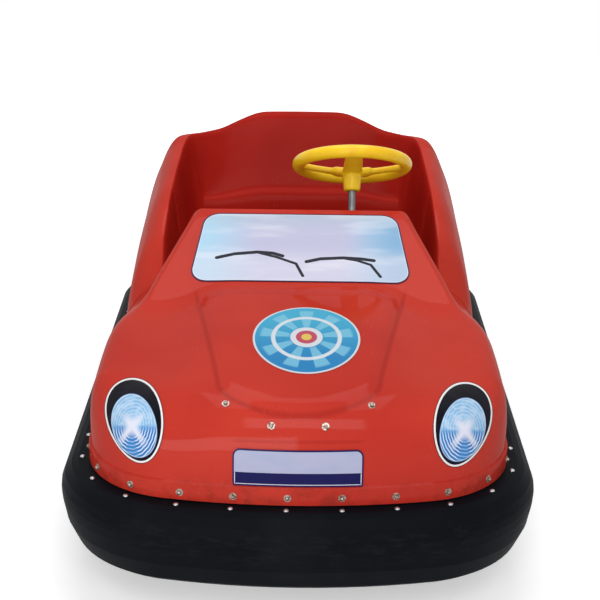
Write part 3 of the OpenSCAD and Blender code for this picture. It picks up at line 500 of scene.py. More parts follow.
def black_rubber():
    """Moulded bumper rubber: dull, scuffed grey along its widest line, dust in fine pits."""
    m = Finish("bumper_rubber_black", IOR=1.5, Specular_IOR_Level=0.04)
    z = m.xyz()[2]
    pits, scuff = m.noise(520.0), m.noise(26.0, 6.0, 0.7, (1.0, 1.0, 4.0))
    rub = z.over(0.13, 0.2) * z.over(0.25, 0.215) * scuff.over(0.48, 0.66)
    dust = m.noise(7.0, 4.0).over(0.45, 0.75)
    dusty, rubbed = (0.009, 0.010, 0.012), (0.020, 0.020, 0.022)
    base = m.mix((0.003, 0.004, 0.006), (dusty, dust * 0.5), (rubbed, rub * 0.35))
    return m.done(base, 0.52 + pits * 0.12 + rub * 0.18, pits * 0.3 - rub * 0.5 * scuff, 0.0008, 0.5)


def tyre_rubber():
    """Dull tyre rubber with dirt rubbed into it."""
    m = Finish("tyre_grey_black", IOR=1.5)
    grain, dirt = m.noise(600.0), m.noise(40.0, 4.0).over(0.45, 0.75)
    base = m.mix((0.018, 0.018, 0.018), ((0.06, 0.055, 0.05), dirt * 0.6))
    return m.done(base, 0.7 + grain * 0.15, grain, 0.0006, 0.5)


def yellow_plastic():
    """Glossy moulded yellow of the steering wheel, thumbed duller on the rim."""
    m = Finish("steering_wheel_yellow", IOR=1.46, Coat_Roughness=0.1, Specular_IOR_Level=0.2)
    fine, wear = m.noise(300.0, 2.0), m.noise(24.0, 4.0)
    base = m.mix((1.0, 0.66, 0.016), ((0.98, 0.57, 0.014), wear.over(0.4, 0.7)))
    m.set("Coat_Weight", 0.18 - wear.over(0.5, 0.8) * 0.12)
    return m.done(base, 0.26 + wear * 0.12 + fine * 0.04, fine * 0.2 + wear, 0.0008, 0.25)


def bare_steel(name, colour, rough, rust=0.0, stretch=(1.0, 1.0, 1.0)):
    """Zinc-plated or bright steel with cloudy plating and, where asked, a little rust."""
    m = Finish(name, Metallic=1.0)
    cloud, grain = m.noise(45.0, 4.0), m.noise(700.0, 2.0, 0.5, stretch)
    base = m.mix(colour, (tuple(0.72 * c for c in colour), cloud.over(0.35, 0.7)))
    rough = rough + cloud * 0.12
    if rust:
        spot = m.noise(90.0, 6.0, 0.7).over(0.68 - 0.16 * rust, 0.74)
        base = m.mix(base, ((0.13, 0.045, 0.018), spot))
        m.set("Metallic", 1 - spot * 0.85)
        rough = rough + spot * 0.35
    return m.done(base, rough, grain, 0.0003, 0.4)


def frame_paint():
    """Black chassis paint over rough welded steel, dusty on top, rust at chips."""
    m = Finish("frame_black_paint", IOR=1.5)
    brush, dust = m.noise(160.0), m.noise(12.0, 5.0, 0.6)
    chip = m.noise(60.0, 6.0, 0.7).over(0.67, 0.7)
    dirt = dust.over(0.5, 0.8) * 0.7
    base = m.mix((0.014, 0.014, 0.015), ((0.07, 0.062, 0.052), dirt), ((0.12, 0.045, 0.02), chip))
    return m.done(base, 0.42 + dust * 0.3 + chip * 0.3, brush * 0.6 - chip, 0.0006, 0.5)


def cast_alloy():
    """Sand-cast alloy, stained."""
    m = Finish("cast_alloy", Metallic=0.9)
    sand, stain = m.noise(480.0), m.noise(22.0, 4.0)
    base = m.mix((0.42, 0.42, 0.43), ((0.24, 0.235, 0.23), stain.over(0.4, 0.75)))
    return m.done(base, 0.42 + sand * 0.18, sand, 0.0006, 0.7)


def battery_case():
    """Black ribbed battery case, dusty."""
    m = Finish("battery_black_case", IOR=1.46)
    ribs = (m.xyz()[0] * 130.0).sin().over(0.2, 0.5)
    dust = m.noise(15.0, 4.0)
    base = m.mix((0.016, 0.016, 0.017), ((0.06, 0.056, 0.05), dust.over(0.5, 0.8) * 0.6))
    return m.done(base, 0.5 + dust * 0.15, ribs, 0.0015, 0.6)


def bolt_finish(name, colour, rust):
    """Plated bolt heads, clouded, with as much rust as asked."""
    m = Finish(name, Metallic=1.0)
    cloud = m.noise(140.0, 4.0)
    spot = m.noise(230.0, 4.0, 0.6).over(0.66 - rust * 0.22, 0.76 - rust * 0.2)
    base = m.mix(colour, (tuple(0.7 * c for c in colour), cloud), ((0.16, 0.06, 0.025), spot))
    m.set("Metallic", 1 - spot * 0.8)
    return m.done(base, 0.26 + cloud * 0.18 + spot * 0.4, cloud + spot, 0.0003, 0.4)


def film(name):
    """Gloss printed film laid on the moulding."""
    return Finish(name, IOR=1.46, Coat_Roughness=0.06, Specular_IOR_Level=0.04, Coat_Weight=0.1)


def printed(m, base):
    """The film's material with its print."""
    return m.done(base, 0.2 + m.noise(60.0, 4.0) * 0.1, m.noise(14.0, 1.0), 0.0012, 0.25)


def edge_of(m):
    """Distance in metres from a print's outline, kept in its second map."""
    return m.xyz(m.node("ShaderNodeUVMap", {"uv_map": "edge"}))[0]


NAVY = (0.010, 0.009, 0.085)


def capsule(x, y, ax, ay, bx, by, thick):
    """Share of ink of a straight stroke between two places, metres."""
    dx, dy = bx - ax, by - ay
    run = ((x - ax) * dx + (y - ay) * dy) / (dx * dx + dy * dy)
    run = run.max(0.0).min(1.0)
    px, py = x - ax - run * dx, y - ay - run * dy
    return (px * px + py * py).sqrt().over(thick + 0.0006, thick - 0.0006)


def red_panel_finish(m, base, height, gloss):
    """Shared gelcoat scratches and darker, duller patches towards the bottom, laid over a base colour, a
    bump height and a weight for the clear coat.
    """
    drift, fine, patch_noise = m.noise(2.6, 2.0), m.noise(240.0, 2.0), m.noise(30.0, 5.0, 0.65)
    # Darker, duller red in patches towards the bottom, below about 0.33 m.
    low = m.xyz()[2].over(0.33, 0.268) * patch_noise.over(0.42, 0.7)
    scratch = m.noise(420.0, 2.0, 0.5, (1.0, 0.05, 0.4)).over(0.64, 0.72) * m.noise(5.0).over(0.5, 0.62)
    base = m.mix(base, ((0.22, 0.030, 0.022), low * 0.6), ((0.62, 0.13, 0.10), scratch * 0.3))
    m.set("Coat_Weight", gloss - low * gloss)
    rough = 0.25 + fine * 0.06 + low * 0.3 + scratch * 0.15 + drift * 0.05
    return m.done(base, rough, height + fine * 0.00002, 1.0, 0.6)


def shell_finish():
    """Red of the outer moulding, grooved beside the raised bonnet panel and along the crease above the
    plate, with painted shade darkening both grooved lines.
    """
    m = Finish("red_gelcoat", IOR=1.5, Coat_Roughness=0.07, Specular_IOR_Level=0.0)
    x, y, z = m.xyz()
    ahead, across = (panel_y * MM - y) / (panel_nose * MM), x / (panel_half * MM)
    far = (across * across + ahead * ahead).sqrt()
    lean_x, lean_y = across / (panel_half * MM), ahead / (panel_nose * MM)
    nose_gap = far * (far - 1) / (lean_x * lean_x + lean_y * lean_y).sqrt()
    side_gap = abs(x) - panel_half * MM - (y - panel_y * MM) * panel_taper
    front = y.over(panel_y * MM + 0.002, panel_y * MM - 0.002)
    gap = nose_gap * front + side_gap * (1 - front)
    groove_and_shade = gap.over(0.004, 0.012) * gap.over(0.021, 0.013) * y.over(-0.25, -0.33) * z.over(0.40, 0.43)
    plate_line_and_shade = abs(z - plate_crease * MM).over(0.005, 0.0012) * abs(x).over(0.135, 0.116) * y.over(-0.78, -0.82)
    # The darker red laid over the bonnet panel's grooved edge and the plate's crease line is painted shade;
    # the bump gives their real dent.
    base = m.mix(
        (0.57, 0.042, 0.025), ((0.51, 0.032, 0.020), m.noise(3.0, 2.0).over(0.35, 0.7)),
        ((0.33, 0.018, 0.013), (groove_and_shade * 0.5).max(plate_line_and_shade * 0.35)),
    )
    return red_panel_finish(m, base, m.noise(7.0, 1.0) * 0.0016 - groove_and_shade * 0.0013 - plate_line_and_shade * 0.0012, 0.15)


def tub_finish():
    """Red of the bench moulding, a little darker and duller where riders sit."""
    m = Finish("red_gelcoat_bench", IOR=1.5, Coat_Roughness=0.18, Specular_IOR_Level=0.0)
    rub = m.noise(18.0, 5.0, 0.6).over(0.42, 0.7) * m.xyz()[2].over(0.5, 0.4)
    base = m.mix(
        (0.44, 0.018, 0.011), ((0.37, 0.013, 0.008), m.noise(3.0, 2.0).over(0.35, 0.7)),
        ((0.24, 0.022, 0.015), rub * 0.5),
    )
    return red_panel_finish(m, base, m.noise(8.0, 1.0) * 0.0014, 0.05)


# Strokes of the printed wipers, metres, and their half thickness
wiper_strokes = [
    ([(-0.208, -0.180), (-0.165, -0.167), (-0.108, -0.160), (-0.070, -0.163), (-0.045, -0.172)], 0.0050),
    ([(-0.108, -0.161), (-0.060, -0.176), (-0.011, -0.197), (0.006, -0.236)], 0.0038),
    ([(0.015, -0.190), (0.050, -0.180), (0.106, -0.176), (0.150, -0.179), (0.182, -0.184)], 0.0050),
    ([(0.106, -0.177), (0.140, -0.184), (0.174, -0.198), (0.196, -0.236)], 0.0038),
]


def screen_print():
    """Printed windscreen: pale lavender middle, light-blue sides, dark outline and two printed wipers."""
    m = film("windscreen_print")
    x, y, _ = m.xyz()
    sheen = m.noise(9.0, 2.0, 0.5, (0.5, 2.2, 1.0)).over(0.48, 0.66)
    lines = [capsule(x, y, *a, *b, thick) for run, thick in wiper_strokes for a, b in zip(run, run[1:])]
    ink = lines[0]
    for line in lines[1:]:
        ink = ink.max(line)
    edge = edge_of(m)
    return printed(m, m.mix(
        (0.52, 0.52, 0.70),
        ((0.42, 0.66, 0.84), abs(x).over(0.09, 0.25)),
        ((0.20, 0.40, 0.64), x.over(0.10, 0.25) * 0.85),
        ((0.74, 0.75, 0.86), y.over(-0.13, -0.2) * 0.45),
        ((0.40, 0.52, 0.62), y.over(-0.10, -0.02) * 0.6),
        ((0.86, 0.87, 0.94), sheen * 0.35),
        ((0.010, 0.010, 0.022), ink),
        ((0.86, 0.88, 0.93), edge.over(0.006, 0.0045) * 0.6),
        ((0.030, 0.022, 0.075), edge.over(0.0038, 0.003)),
    ))


def lamp_field_print():
    """Dark egg-shaped surround of a headlamp with its thin white outline."""
    m = film("headlamp_field_print")
    edge = edge_of(m)
    return printed(m, m.mix(
        (0.003, 0.003, 0.006),
        ((0.007, 0.007, 0.014), m.noise(30.0).over(0.3, 0.7)),
        ((0.88, 0.84, 0.86), edge.over(0.0052, 0.0044) * edge.over(0.0007, 0.0014)),
    ))


def lamp_lens_print():
    """Printed lens: fluted rings round a white glow with rays, pale blue above and deeper blue below."""
    m = film("headlamp_lens_print")
    u, v, _ = m.xyz(m.uv)
    v = v + 0.013
    far = (u * u + v * v * 0.62).sqrt()
    turn = u.turn_from(v)
    ring = (far * 1150.0 + (turn * 20.0).sin() * 0.35).sin()
    out, upper, lower = far.over(0.010, 0.022), v.over(-0.004, 0.004), v.over(0.002, -0.014)
    above, below = out * upper, out * lower
    side, beam = abs(turn) - 1.75, abs(turn) - 2.45
    rays = beam.over(-0.26, -0.10) * beam.over(0.26, 0.10) * far.over(0.048, 0.020)
    star = far * (1 + (turn * 4.0 + math.pi / 2).sin() * 0.3)
    edge = edge_of(m)
    return printed(m, m.mix(
        (0.30, 0.53, 0.79),
        ((0.05, 0.23, 0.60), lower),
        ((0.04, 0.25, 0.62), side.over(-0.35, -0.1) * side.over(0.45, 0.15) * out * 0.6),
        ((0.60, 0.74, 0.88), ring.over(0.0, 0.9) * above * 0.4),
        ((0.14, 0.34, 0.58), ring.over(-0.5, -1.0) * above * 0.4),
        ((0.80, 0.86, 0.94), ring.over(0.25, 0.8) * below * 0.85),
        ((0.03, 0.14, 0.36), ring.over(-0.55, -1.0) * below * 0.7),
        ((0.80, 0.84, 0.93), rays * 0.6),
        ((0.05, 0.26, 0.62), abs(turn).over(2.82, 2.95) * far.over(0.012, 0.020) * 0.6),
        ((0.58, 0.74, 0.90), m.noise(70.0).over(0.46, 0.64) * upper * 0.5),
        ((0.78, 0.79, 0.90), star.over(0.025, 0.005) * 0.92),
        ((0.62, 0.74, 0.88), edge.over(0.0034, 0.0026) * 0.6),
        ((0.02, 0.05, 0.16), edge.over(0.0016, 0.0008)),
    ))


def plate_print():
    """Blank plate: lavender field over a navy strip, white hairline, navy outline."""
    m = film("number_plate_print")
    v, edge = m.xyz(m.uv)[1], edge_of(m)
    cloud = m.noise(16.0, 2.0, 0.5, (1.0, 1.0, 3.0)).over(0.4, 0.7)
    line = edge.over(0.0030, 0.0035) * edge.over(0.0052, 0.0047)
    return printed(m, m.mix(
        (0.44, 0.45, 0.62),
        ((0.36, 0.42, 0.60), cloud * 0.5),
        (NAVY, v.over(0.0304, 0.0296)),
        ((0.62, 0.62, 0.72), line * v.over(0.034, 0.026)),
        (NAVY, edge.over(0.0032, 0.0026)),
    ))


def sticker_print():
    """Plain oval sticker: white edge, blue field with a pale sunburst and a small red middle."""
    m = film("bonnet_sticker_print")
    u, v, _ = m.xyz(m.uv)
    u, v = u - sticker_x * MM, v - sticker_y * MM
    far = (u * u + v * v * 0.56).sqrt()
    turn = (v * 0.75).turn_from(u)
    rays = (turn * 9.0).sin().over(-0.1, 0.25) * far.over(0.034, 0.040) * far.over(0.104, 0.096)
    return printed(m, m.mix(
        (0.02, 0.22, 0.50),
        ((0.05, 0.40, 0.62), v.over(-0.12, 0.12)),
        ((0.20, 0.54, 0.72), rays * 0.8),
        ((0.66, 0.72, 0.78), far.over(0.066, 0.069) * far.over(0.078, 0.075)),
        ((0.66, 0.70, 0.75), far.over(0.036, 0.034)),
        ((0.50, 0.07, 0.12), far.over(0.024, 0.022)),
        ((0.74, 0.52, 0.10), far.over(0.012, 0.0105)),
        ((0.64, 0.69, 0.74), edge_of(m).over(0.0050, 0.0042)),
    ))


# Moulded body and bench
def body_piece(finish):
    """The outer moulding: a skin whose inner side has fewer rows than its outer one."""
    f, w = round_steps[None, :], inner_steps[:, None]
    outer = both_sides(body_at(f, up_steps[:, None]))
    inner = both_sides(body_at(f, w) - shell_thick * body_n(f, w))
    keep("moulded_body", skin(outer, inner, wrap=True), "chassis", "body_shell", finish=finish)


def hermite_rows(p, fine):
    """Rows of points set closer along smooth lines through the given rows."""
    m = slopes(np.diff(p, axis=0))
    s = np.linspace(0, len(p) - 1, fine)
    i = np.clip(s.astype(int), 0, len(p) - 2)
    return hermite((s - i)[:, None, None], p[i], p[i + 1], m[i], m[i + 1])


# Along the middle of the bench moulding: places and heights up to the backrest's foot, then places and
# shares of the backrest's height
tub_line = [
    (24, foot_z), (42, foot_z), (90, foot_z), (180, foot_z), (bench_y - 22, foot_z),
    (bench_y - 8, foot_z + 6), (bench_y - 2, foot_z + 24), (bench_y + 6, bench_z - 30),
    (bench_y + 14, bench_z - 8), (bench_y + 34, bench_z), (450, bench_z - 8), (585, bench_z - 14),
    (612, bench_z - 8), (630, bench_z + 22),
]
back_run = [
    (645, 0.17), (662, 0.36), (672, 0.41), (688, 0.44), (704, 0.53), (728, 0.72), (746, 0.88), (758, 0.97),
    (back_top_y - 2, 1),
]


def tub_half(y):
    """Half width of the bench moulding's edge, flush with the body's rim and turned in with it in front."""
    return side_half(y) - seam - 18 * np.clip((90 - y) / 66, 0, 1) ** 2.5


def tub_grid(c):
    """Rows of the bench moulding from the footwell's front to the backrest's top, at shares c across."""
    rows = []
    wall = ease(wall_from, 1, np.abs(c))
    for y, z in tub_line:
        h = tub_half(y)
        rows.append(points_of(c * h, y, z + (top_h(h + seam, y) - z) * wall))
    foot = tub_line[-1][0]
    for place, g in back_run:
        y = foot + (place - foot) * (1 - back_bow / (back_top_y - foot) * np.abs(c) ** 3) - tub_seat
        x = c * tub_half(y)
        z0 = bench_z - 14
        z = z0 + (back_top_z - back_line.at(np.abs(x)) - z0) * g
        rows.append(points_of(x, y, z + (top_h(np.abs(x) + seam, y) - z) * wall))
    return np.array(rows)


def bench_piece(finish):
    """The bench moulding: footwell, seat and backrest in one sheet whose edge meets the body's rim."""
    share = np.concatenate([np.linspace(0, 0.84, 30)[:-1], np.linspace(0.84, 1, 34)])
    c = np.concatenate([-share[::-1], share[1:]])
    top = hermite_rows(tub_grid(c), 170)
    wall, y = ease(wall_from, 1, np.abs(c)), top[:, -1, 1]
    half = tub_half(y)
    top[..., 0] *= 1 + (half / top[:, -1, 0] - 1)[:, None] * wall
    top[..., 2] += (top_h(half + seam, y) - top[:, -1, 2])[:, None] * wall
    low = top - tub_thick * unit(np.cross(np.gradient(top, axis=1), np.gradient(top, axis=0)))
    keep("bench_moulding", skin(top, low), "chassis", "cockpit_tub", finish=finish)


def band_half(y):
    """Half width between the bumper band's inner faces."""
    reach = plan_at(band_inset, np.linspace(1, 3, 400))
    return np.interp(y, reach[:, 1], reach[:, 0])


def footwell_shade_mat(hand, side, finish):
    """Ribbed rubber mat from over the floor plate's edge out to the bumper band, ahead of the bench; a dark
    sheet that stands in for the shade under the car where the floor would show through.
    """
    y = np.arange(mat_front, mat_back, 4.0)[:, None]
    across = np.linspace(0, 1, 12)[::side]
    x = side * (mat_inside + (band_half(y) - mat_inside) * across)
    rib = mat_rib * (np.arange(len(y)) // 2 % 2)[:, None] * (np.abs(across - 0.5) < 0.45)
    mesh = skin(points_of(x, y, mat_low + mat_thick + rib), points_of(x, y, mat_low))
    keep(f"footwell_mat_{hand}", mesh, "chassis", slot="rubber", finish=finish)


def splash_apron(finish):
    """Wavy rubber sheet with a beaded top that stands on the floor plate's front edge; a dark sheet that
    stands in for the shade under the car where the floor would show through.
    """
    half = band_half(mat_front) - 1
    x, z = np.meshgrid(np.linspace(-half, half, 160), np.linspace(mat_low, apron_high, 30))
    sag = 1.5 * np.sin(x / 37) * (z - mat_low) / (apron_high - mat_low)
    bead = 1.5 + 1.8 * ease(apron_high - 9, apron_high - 5, z)
    mesh = skin(points_of(x, mat_front + sag - bead, z), points_of(x, mat_front + sag + bead, z))
    keep("splash_apron", mesh, "chassis", slot="rubber", finish=finish)


# Prints laid on the moulding
def rounded(half_foot, half_top, low, high, foot_r, top_r):
    """Outline with a straight foot and top and round corners."""
    points = [Vector(p) for p in ((-half_foot, low), (half_foot, low), (half_top, high), (-half_top, high))]
    out, steps = [], 9
    for i, r in enumerate((foot_r, foot_r, top_r, top_r)):
        o = points[i]
        a, b = points[i - 1] - o, points[(i + 1) % 4] - o
        half = a.angle(b) / 2
        a.normalize()
        b.normalize()
        mid = o + (a + b).normalized() * r / math.sin(half)
        from_a, from_b = o + a * r / math.tan(half) - mid, o + b * r / math.tan(half) - mid
        turn = from_a.angle_signed(from_b)
        out += [mid + Matrix.Rotation(-turn * k / (steps - 1), 2) @ from_a for k in range(steps)]
    return np.array(out)


def lengths(p):
    """Length of the line through points up to each of them."""
    return np.concatenate([[0], np.cumsum(np.linalg.norm(np.diff(p, axis=0), axis=1))])


def spread(outline, count):
    """The same closed outline with evenly spaced points."""
    p = np.vstack([outline, outline[:1]])
    run = lengths(p)
    at = np.linspace(0, run[-1], count, endpoint=False)
    return points_of(np.interp(at, run, p[:, 0]), np.interp(at, run, p[:, 1]))


def print_piece(name, node, outline, place, finish, lift=print_lift, thick=print_thick, rings=22):
    """Thin print whose outline lies in a flat plan; place gives its points and normals on the moulding."""
    count = 240
    p = spread(outline, count)
    along = np.roll(p, -1, 0) - np.roll(p, 1, 0)
    inward = unit(points_of(-along[:, 1], along[:, 0]))
    middle = p.mean(0)
    flat, far, border = [], [], 6.5
    for d in (0, 2.0, 4.0, border):
        flat.append(p + inward * d)
        far.append(np.full(count, d))
    for s in np.linspace(1, 0.02, rings)[1:]:
        flat.append(middle + (p + inward * border - middle) * s)
        far.append(np.full(count, border + 40 * (1 - s)))
    flat, far = np.array(flat), np.array(far)
    at, n = place(flat)
    top, low = at + (lift + thick) * n, at + lift * n
    mesh = skin(top[::-1], low[::-1], wrap=True, uv=flat[::-1] * MM, core=True)
    add_map(mesh, "edge", points_of(np.concatenate([far[::-1].ravel()] * 2) * MM, 0))
    mesh.uv_layers["print"].active_render = True
    cap = bmesh.new()
    cap.from_mesh(mesh)
    bmesh.ops.holes_fill(cap, edges=[e for e in cap.edges if len(e.link_faces) == 1], sides=0)
    cap.to_mesh(mesh)
    cap.free()
    keep(name, mesh, "chassis", node, finish=finish)


def on_body(f, side, w):
    """Points and normals of the body at places f round the half plan; side is 1 or -1."""
    turn = points_of(side, 1, 1)
    return body_at(f, w) * turn, body_n(f, w) * turn


def on_deck(flat):
    """Places on the body's top: flat x and y are the place's own."""
    x, y = flat[..., 0], flat[..., 1]
    lean_x, lean_y = top_h(x - 1, y) - top_h(x + 1, y), top_h(x, y - 1) - top_h(x, y + 1)
    return points_of(x, y, top_h(x, y)), unit(points_of(lean_x, lean_y, 2.0))


crown_long = (front_r - skirt_inset) * front_turn


def edge_w(share, f):
    """Place w on the rounded edge at a share of its height."""
    return 2 + 2 / math.pi * np.arcsin(share ** (edge_line.at(f, 1) / 2))


def on_lamp(side):
    """Places of a plane that leans back, as they fall on the body: flat x runs sideways, flat y up."""
    tilt = math.radians(lamp_tilt)

    def on_plane(f, share):
        p = body_at(f, edge_w(share, f))
        return np.stack([p[..., 0], p[..., 1] * math.sin(tilt) + p[..., 2] * math.cos(tilt)])

    middle = on_plane(np.array([lamp_f]), np.array([lamp_up]))

    def place(flat):
        goal = np.stack([side * flat[..., 0].ravel(), flat[..., 1].ravel()]) + middle
        f, share = np.full(goal.shape[1], lamp_f), np.full(goal.shape[1], lamp_up)
        for _ in range(8):
            at, d = on_plane(f, share), 0.001
            a, b = (on_plane(f + d, share) - at) / d, (on_plane(f, share + d) - at) / d
            e, det = goal - at, a[0] * b[1] - a[1] * b[0]
            f = f + (e[0] * b[1] - e[1] * b[0]) / det
            share = np.clip(share + (a[0] * e[1] - a[1] * e[0]) / det, 0.001, 0.9985)
        shape = flat.shape[:-1]
        return on_body(f.reshape(shape), side, edge_w(share, f).reshape(shape))

    return place


def on_nose(flat):
    """Places on the body's front: flat x runs across, flat y up from the crease."""
    g = np.abs(flat[..., 0]) / crown_long
    w = edge_w(flat[..., 1] / (bonnet_tip[1] - deck_z), g)
    return on_body(g, np.where(flat[..., 0] < 0, -1, 1), w)


# Round pieces: the steering wheel, the tyres and the bolts' heads
def round_turns(count):
    return np.linspace(0, 2 * math.pi, count, endpoint=False)


def turned(profile, count):
    """Rings of points from a profile of radius and height, turned about Z."""
    return [[(r * math.cos(a), r * math.sin(a), z) for a in round_turns(count)] for r, z in profile]


def swept(bm, rings, hoop=False):
    """Tube through rings of points, joined end to end or capped at both ends."""
    rings = [[bm.verts.new(p) for p in ring] for ring in rings]
    for a, b in zip(rings, rings[1:] + (rings[:1] if hoop else [])):
        for i in range(len(a)):
            j = (i + 1) % len(a)
            bm.faces.new([a[i], a[j], b[j], b[i]])
    if not hoop:
        bm.faces.new(rings[0][::-1])
        bm.faces.new(rings[-1])


def mesh_of(bm, turn=Matrix()):
    """What was built in mm as one mesh with its faces outwards, turned to its place."""
    bmesh.ops.recalc_face_normals(bm, faces=bm.faces)
    bm.transform(Matrix.Scale(MM, 4) @ turn)
    mesh = bpy.data.meshes.new("piece")
    bm.to_mesh(mesh)
    bm.free()
    return mesh


def plain_mesh(obj):
    """The evaluated mesh of a draft object, which is then removed."""
    mesh = bpy.data.meshes.new_from_object(obj.evaluated_get(bpy.context.evaluated_depsgraph_get()))
    bpy.data.objects.remove(obj)
    return mesh


def steering_wheel_piece(finish):
    """One-piece plastic wheel: round rim, wide front spoke, two slim arms and a tapered boss."""
    bm = bmesh.new()
    mid, r = (wheel_d - rim_d) / 2, rim_d / 2
    swept(bm, turned([(mid + r * math.cos(t), r * math.sin(t)) for t in round_turns(24)], 96), hoop=True)
    boss = [(21, -74), (22.5, -72), (26, -40), (29.5, -24), (29.5, -14), (27, -9), (18, -7)]
    swept(bm, turned(boss, 32))
    # Spokes: direction, half width at the boss and at the rim, half thickness, swelling at the boss
    for turn, near, far, thick, swell in ((-90, 27, 24, 8, 0), (0, 17, 12.5, 8, 9), (180, 17, 12.5, 8, 9)):
        rings = []
        for s in np.linspace(0, 1, 28):
            reach = 6 + (mid - 6) * s
            z = -22 + 20 * s ** 1.4
            root = ease(0.35, 0.27, s)
            half = near + (far - near) * ease(0.1, 0.75, s) + swell * root
            ring = []
            for a in round_turns(20):
                c, q = math.cos(a), math.sin(a)
                side = half * math.copysign(abs(c) ** 0.6, c)
                lift = (thick + 0.35 * swell * root) * math.copysign(abs(q) ** 0.7, q)
                ring.append(Matrix.Rotation(math.radians(turn), 3, "Z") @ Vector((reach, side, z + lift)))
            rings.append(ring)
        swept(bm, rings)
    turn = Matrix.Translation(Vector(wheel_centre)) @ Matrix.Rotation(math.radians(-column_lean), 4, "X")
    draft = placed("steering_wheel_draft", mesh_of(bm, turn))
    remesh = draft.modifiers.new("remesh", "REMESH")
    remesh.mode, remesh.voxel_size = "VOXEL", 0.0024
    smooth = draft.modifiers.new("smooth", "SMOOTH")
    smooth.factor, smooth.iterations = 0.5, 9
    mesh = plain_mesh(draft)
    keep("steering_wheel_moulded", mesh, "steering_column", "steering_wheel", finish=finish)


def tyre_piece(name, node, body, centre, r, width, hub, grooves, finish):
    """Solid tyre turned from one profile with grooves round its tread."""
    half, (x, y, z) = width / 2, centre
    side = [(hub, half - 5), (r - 18, half), (r - 6, half - 4), (r - 1, half - 10)]
    tread = []
    for g in grooves:
        tread += [(r, g + 3.2), (r - 5, g + 2.2), (r - 5, g - 2.2), (r, g - 3.2)]
    bm = bmesh.new()
    swept(bm, turned(side + tread + [(q, -across) for q, across in side[::-1]], 42), hoop=True)
    axle = Matrix(((0, 0, 1, x), (1, 0, 0, y), (0, 1, 0, z), (0, 0, 0, 1)))
    keep(name, mesh_of(bm, axle), body, node, finish=finish)


def head_object(name, *profiles):
    """A washer and a head in one object, each from its own profile and number of sides."""
    bm = bmesh.new()
    for profile, sides in profiles:
        swept(bm, turned(profile, sides))
    return placed(name, mesh_of(bm))


def bolt_tree(name):
    """Geometry Nodes: one head on each point, along its normal, with a seeded turn and size."""
    tree = bpy.data.node_groups.new(name, "GeometryNodeTree")
    face, node = tree.interface, tree.nodes.new
    kinds = {"Points": "Geometry", "Head": "Object", "Finish": "Material", "Scale": "Float", "Seed": "Int"}
    for key, kind in kinds.items():
        face.new_socket(key, in_out="INPUT", socket_type="NodeSocket" + kind)
    face.new_socket("Bolts", in_out="OUTPUT", socket_type="NodeSocketGeometry")
    start, end = node("NodeGroupInput"), node("NodeGroupOutput")
    stand, aim = node("GeometryNodeInputNamedAttribute"), node("FunctionNodeAlignEulerToVector")
    spin, about = node("FunctionNodeRandomValue"), node("FunctionNodeRotateEuler")
    info, place = node("GeometryNodeObjectInfo"), node("GeometryNodeInstanceOnPoints")
    real, coat = node("GeometryNodeRealizeInstances"), node("GeometryNodeSetMaterial")
    stand.data_type, spin.data_type, aim.axis = "FLOAT_VECTOR", "FLOAT", "Z"
    stand.inputs["Name"].default_value = "stand"
    spin.inputs[2].default_value, spin.inputs[3].default_value = 0.0, math.pi / 3
    about.rotation_type, about.space = "AXIS_ANGLE", "LOCAL"
    about.inputs["Axis"].default_value = (0, 0, 1)
    for source, out, target, into in (
        (stand, "Attribute", aim, "Vector"), (start, "Seed", spin, "Seed"),
        (aim, "Rotation", about, "Rotation"), (spin, 1, about, "Angle"), (start, "Head", info, "Object"),
        (start, "Points", place, "Points"), (info, "Geometry", place, "Instance"),
        (about, "Rotation", place, "Rotation"), (start, "Scale", place, "Scale"),
        (place, "Instances", real, "Geometry"), (real, "Geometry", coat, "Geometry"),
        (start, "Finish", coat, "Material"), (coat, "Geometry", end, "Bolts"),
    ):
        tree.links.new(source.outputs[out], target.inputs[into])
    return tree


def bolts(name, tree, head, finish, points, normals, scale, seed):
    """A row of bolts on the chassis as one plain mesh."""
    draft = bpy.data.meshes.new(name + "_places")
    draft.from_pydata((points * MM).tolist(), [], [])
    stand = draft.attributes.new("stand", "FLOAT_VECTOR", "POINT")
    stand.data.foreach_set("vector", normals.ravel())
    obj = placed(name + "_draft", draft)
    mod = obj.modifiers.new("bolts", "NODES")
    mod.node_group = tree
    sockets = {s.name: s.identifier for s in tree.interface.items_tree if s.in_out == "INPUT"}
    for key, value in (("Head", head), ("Finish", finish), ("Scale", scale), ("Seed", seed)):
        mod[sockets[key]] = value
    keep(name, plain_mesh(obj), "chassis", slot="zinc_steel", finish=finish, smooth=False)


def evenly_round(inset, gap, start):
    """Places f and their sides, about gap apart all the way round, the first start from the front tip."""
    f = np.linspace(0, 5, 2001)
    run = lengths(plan_at(inset, f))
    half = run[-1]
    at = (start + np.linspace(0, 2 * half, round(2 * half / gap), endpoint=False)) % (2 * half)
    side = np.where(at <= half, 1.0, -1.0)
    return np.interp(np.where(at <= half, at, 2 * half - at), run, f), side


# Build
red, bench_red = shell_finish(), tub_finish()
rubber, black = black_rubber(), frame_paint()
yellow = yellow_plastic()
zinc = bare_steel("zinc_plated_steel", (0.62, 0.61, 0.58), 0.3, 0.3)
bright = bare_steel("bright_shaft_steel", (0.17, 0.17, 0.18), 0.3, 0.0, (1.0, 1.0, 14.0))
cast = cast_alloy()
zinc_bolt = bolt_finish("zinc_bolt_heads", (0.44, 0.37, 0.33), 0.8)
dull_bolt = bolt_finish("rubber_bolt_heads", (0.52, 0.53, 0.54), 0.1)

body_piece(red)
bench_piece(bench_red)
for side, hand in hands:
    footwell_shade_mat(hand, side, rubber)
splash_apron(rubber)

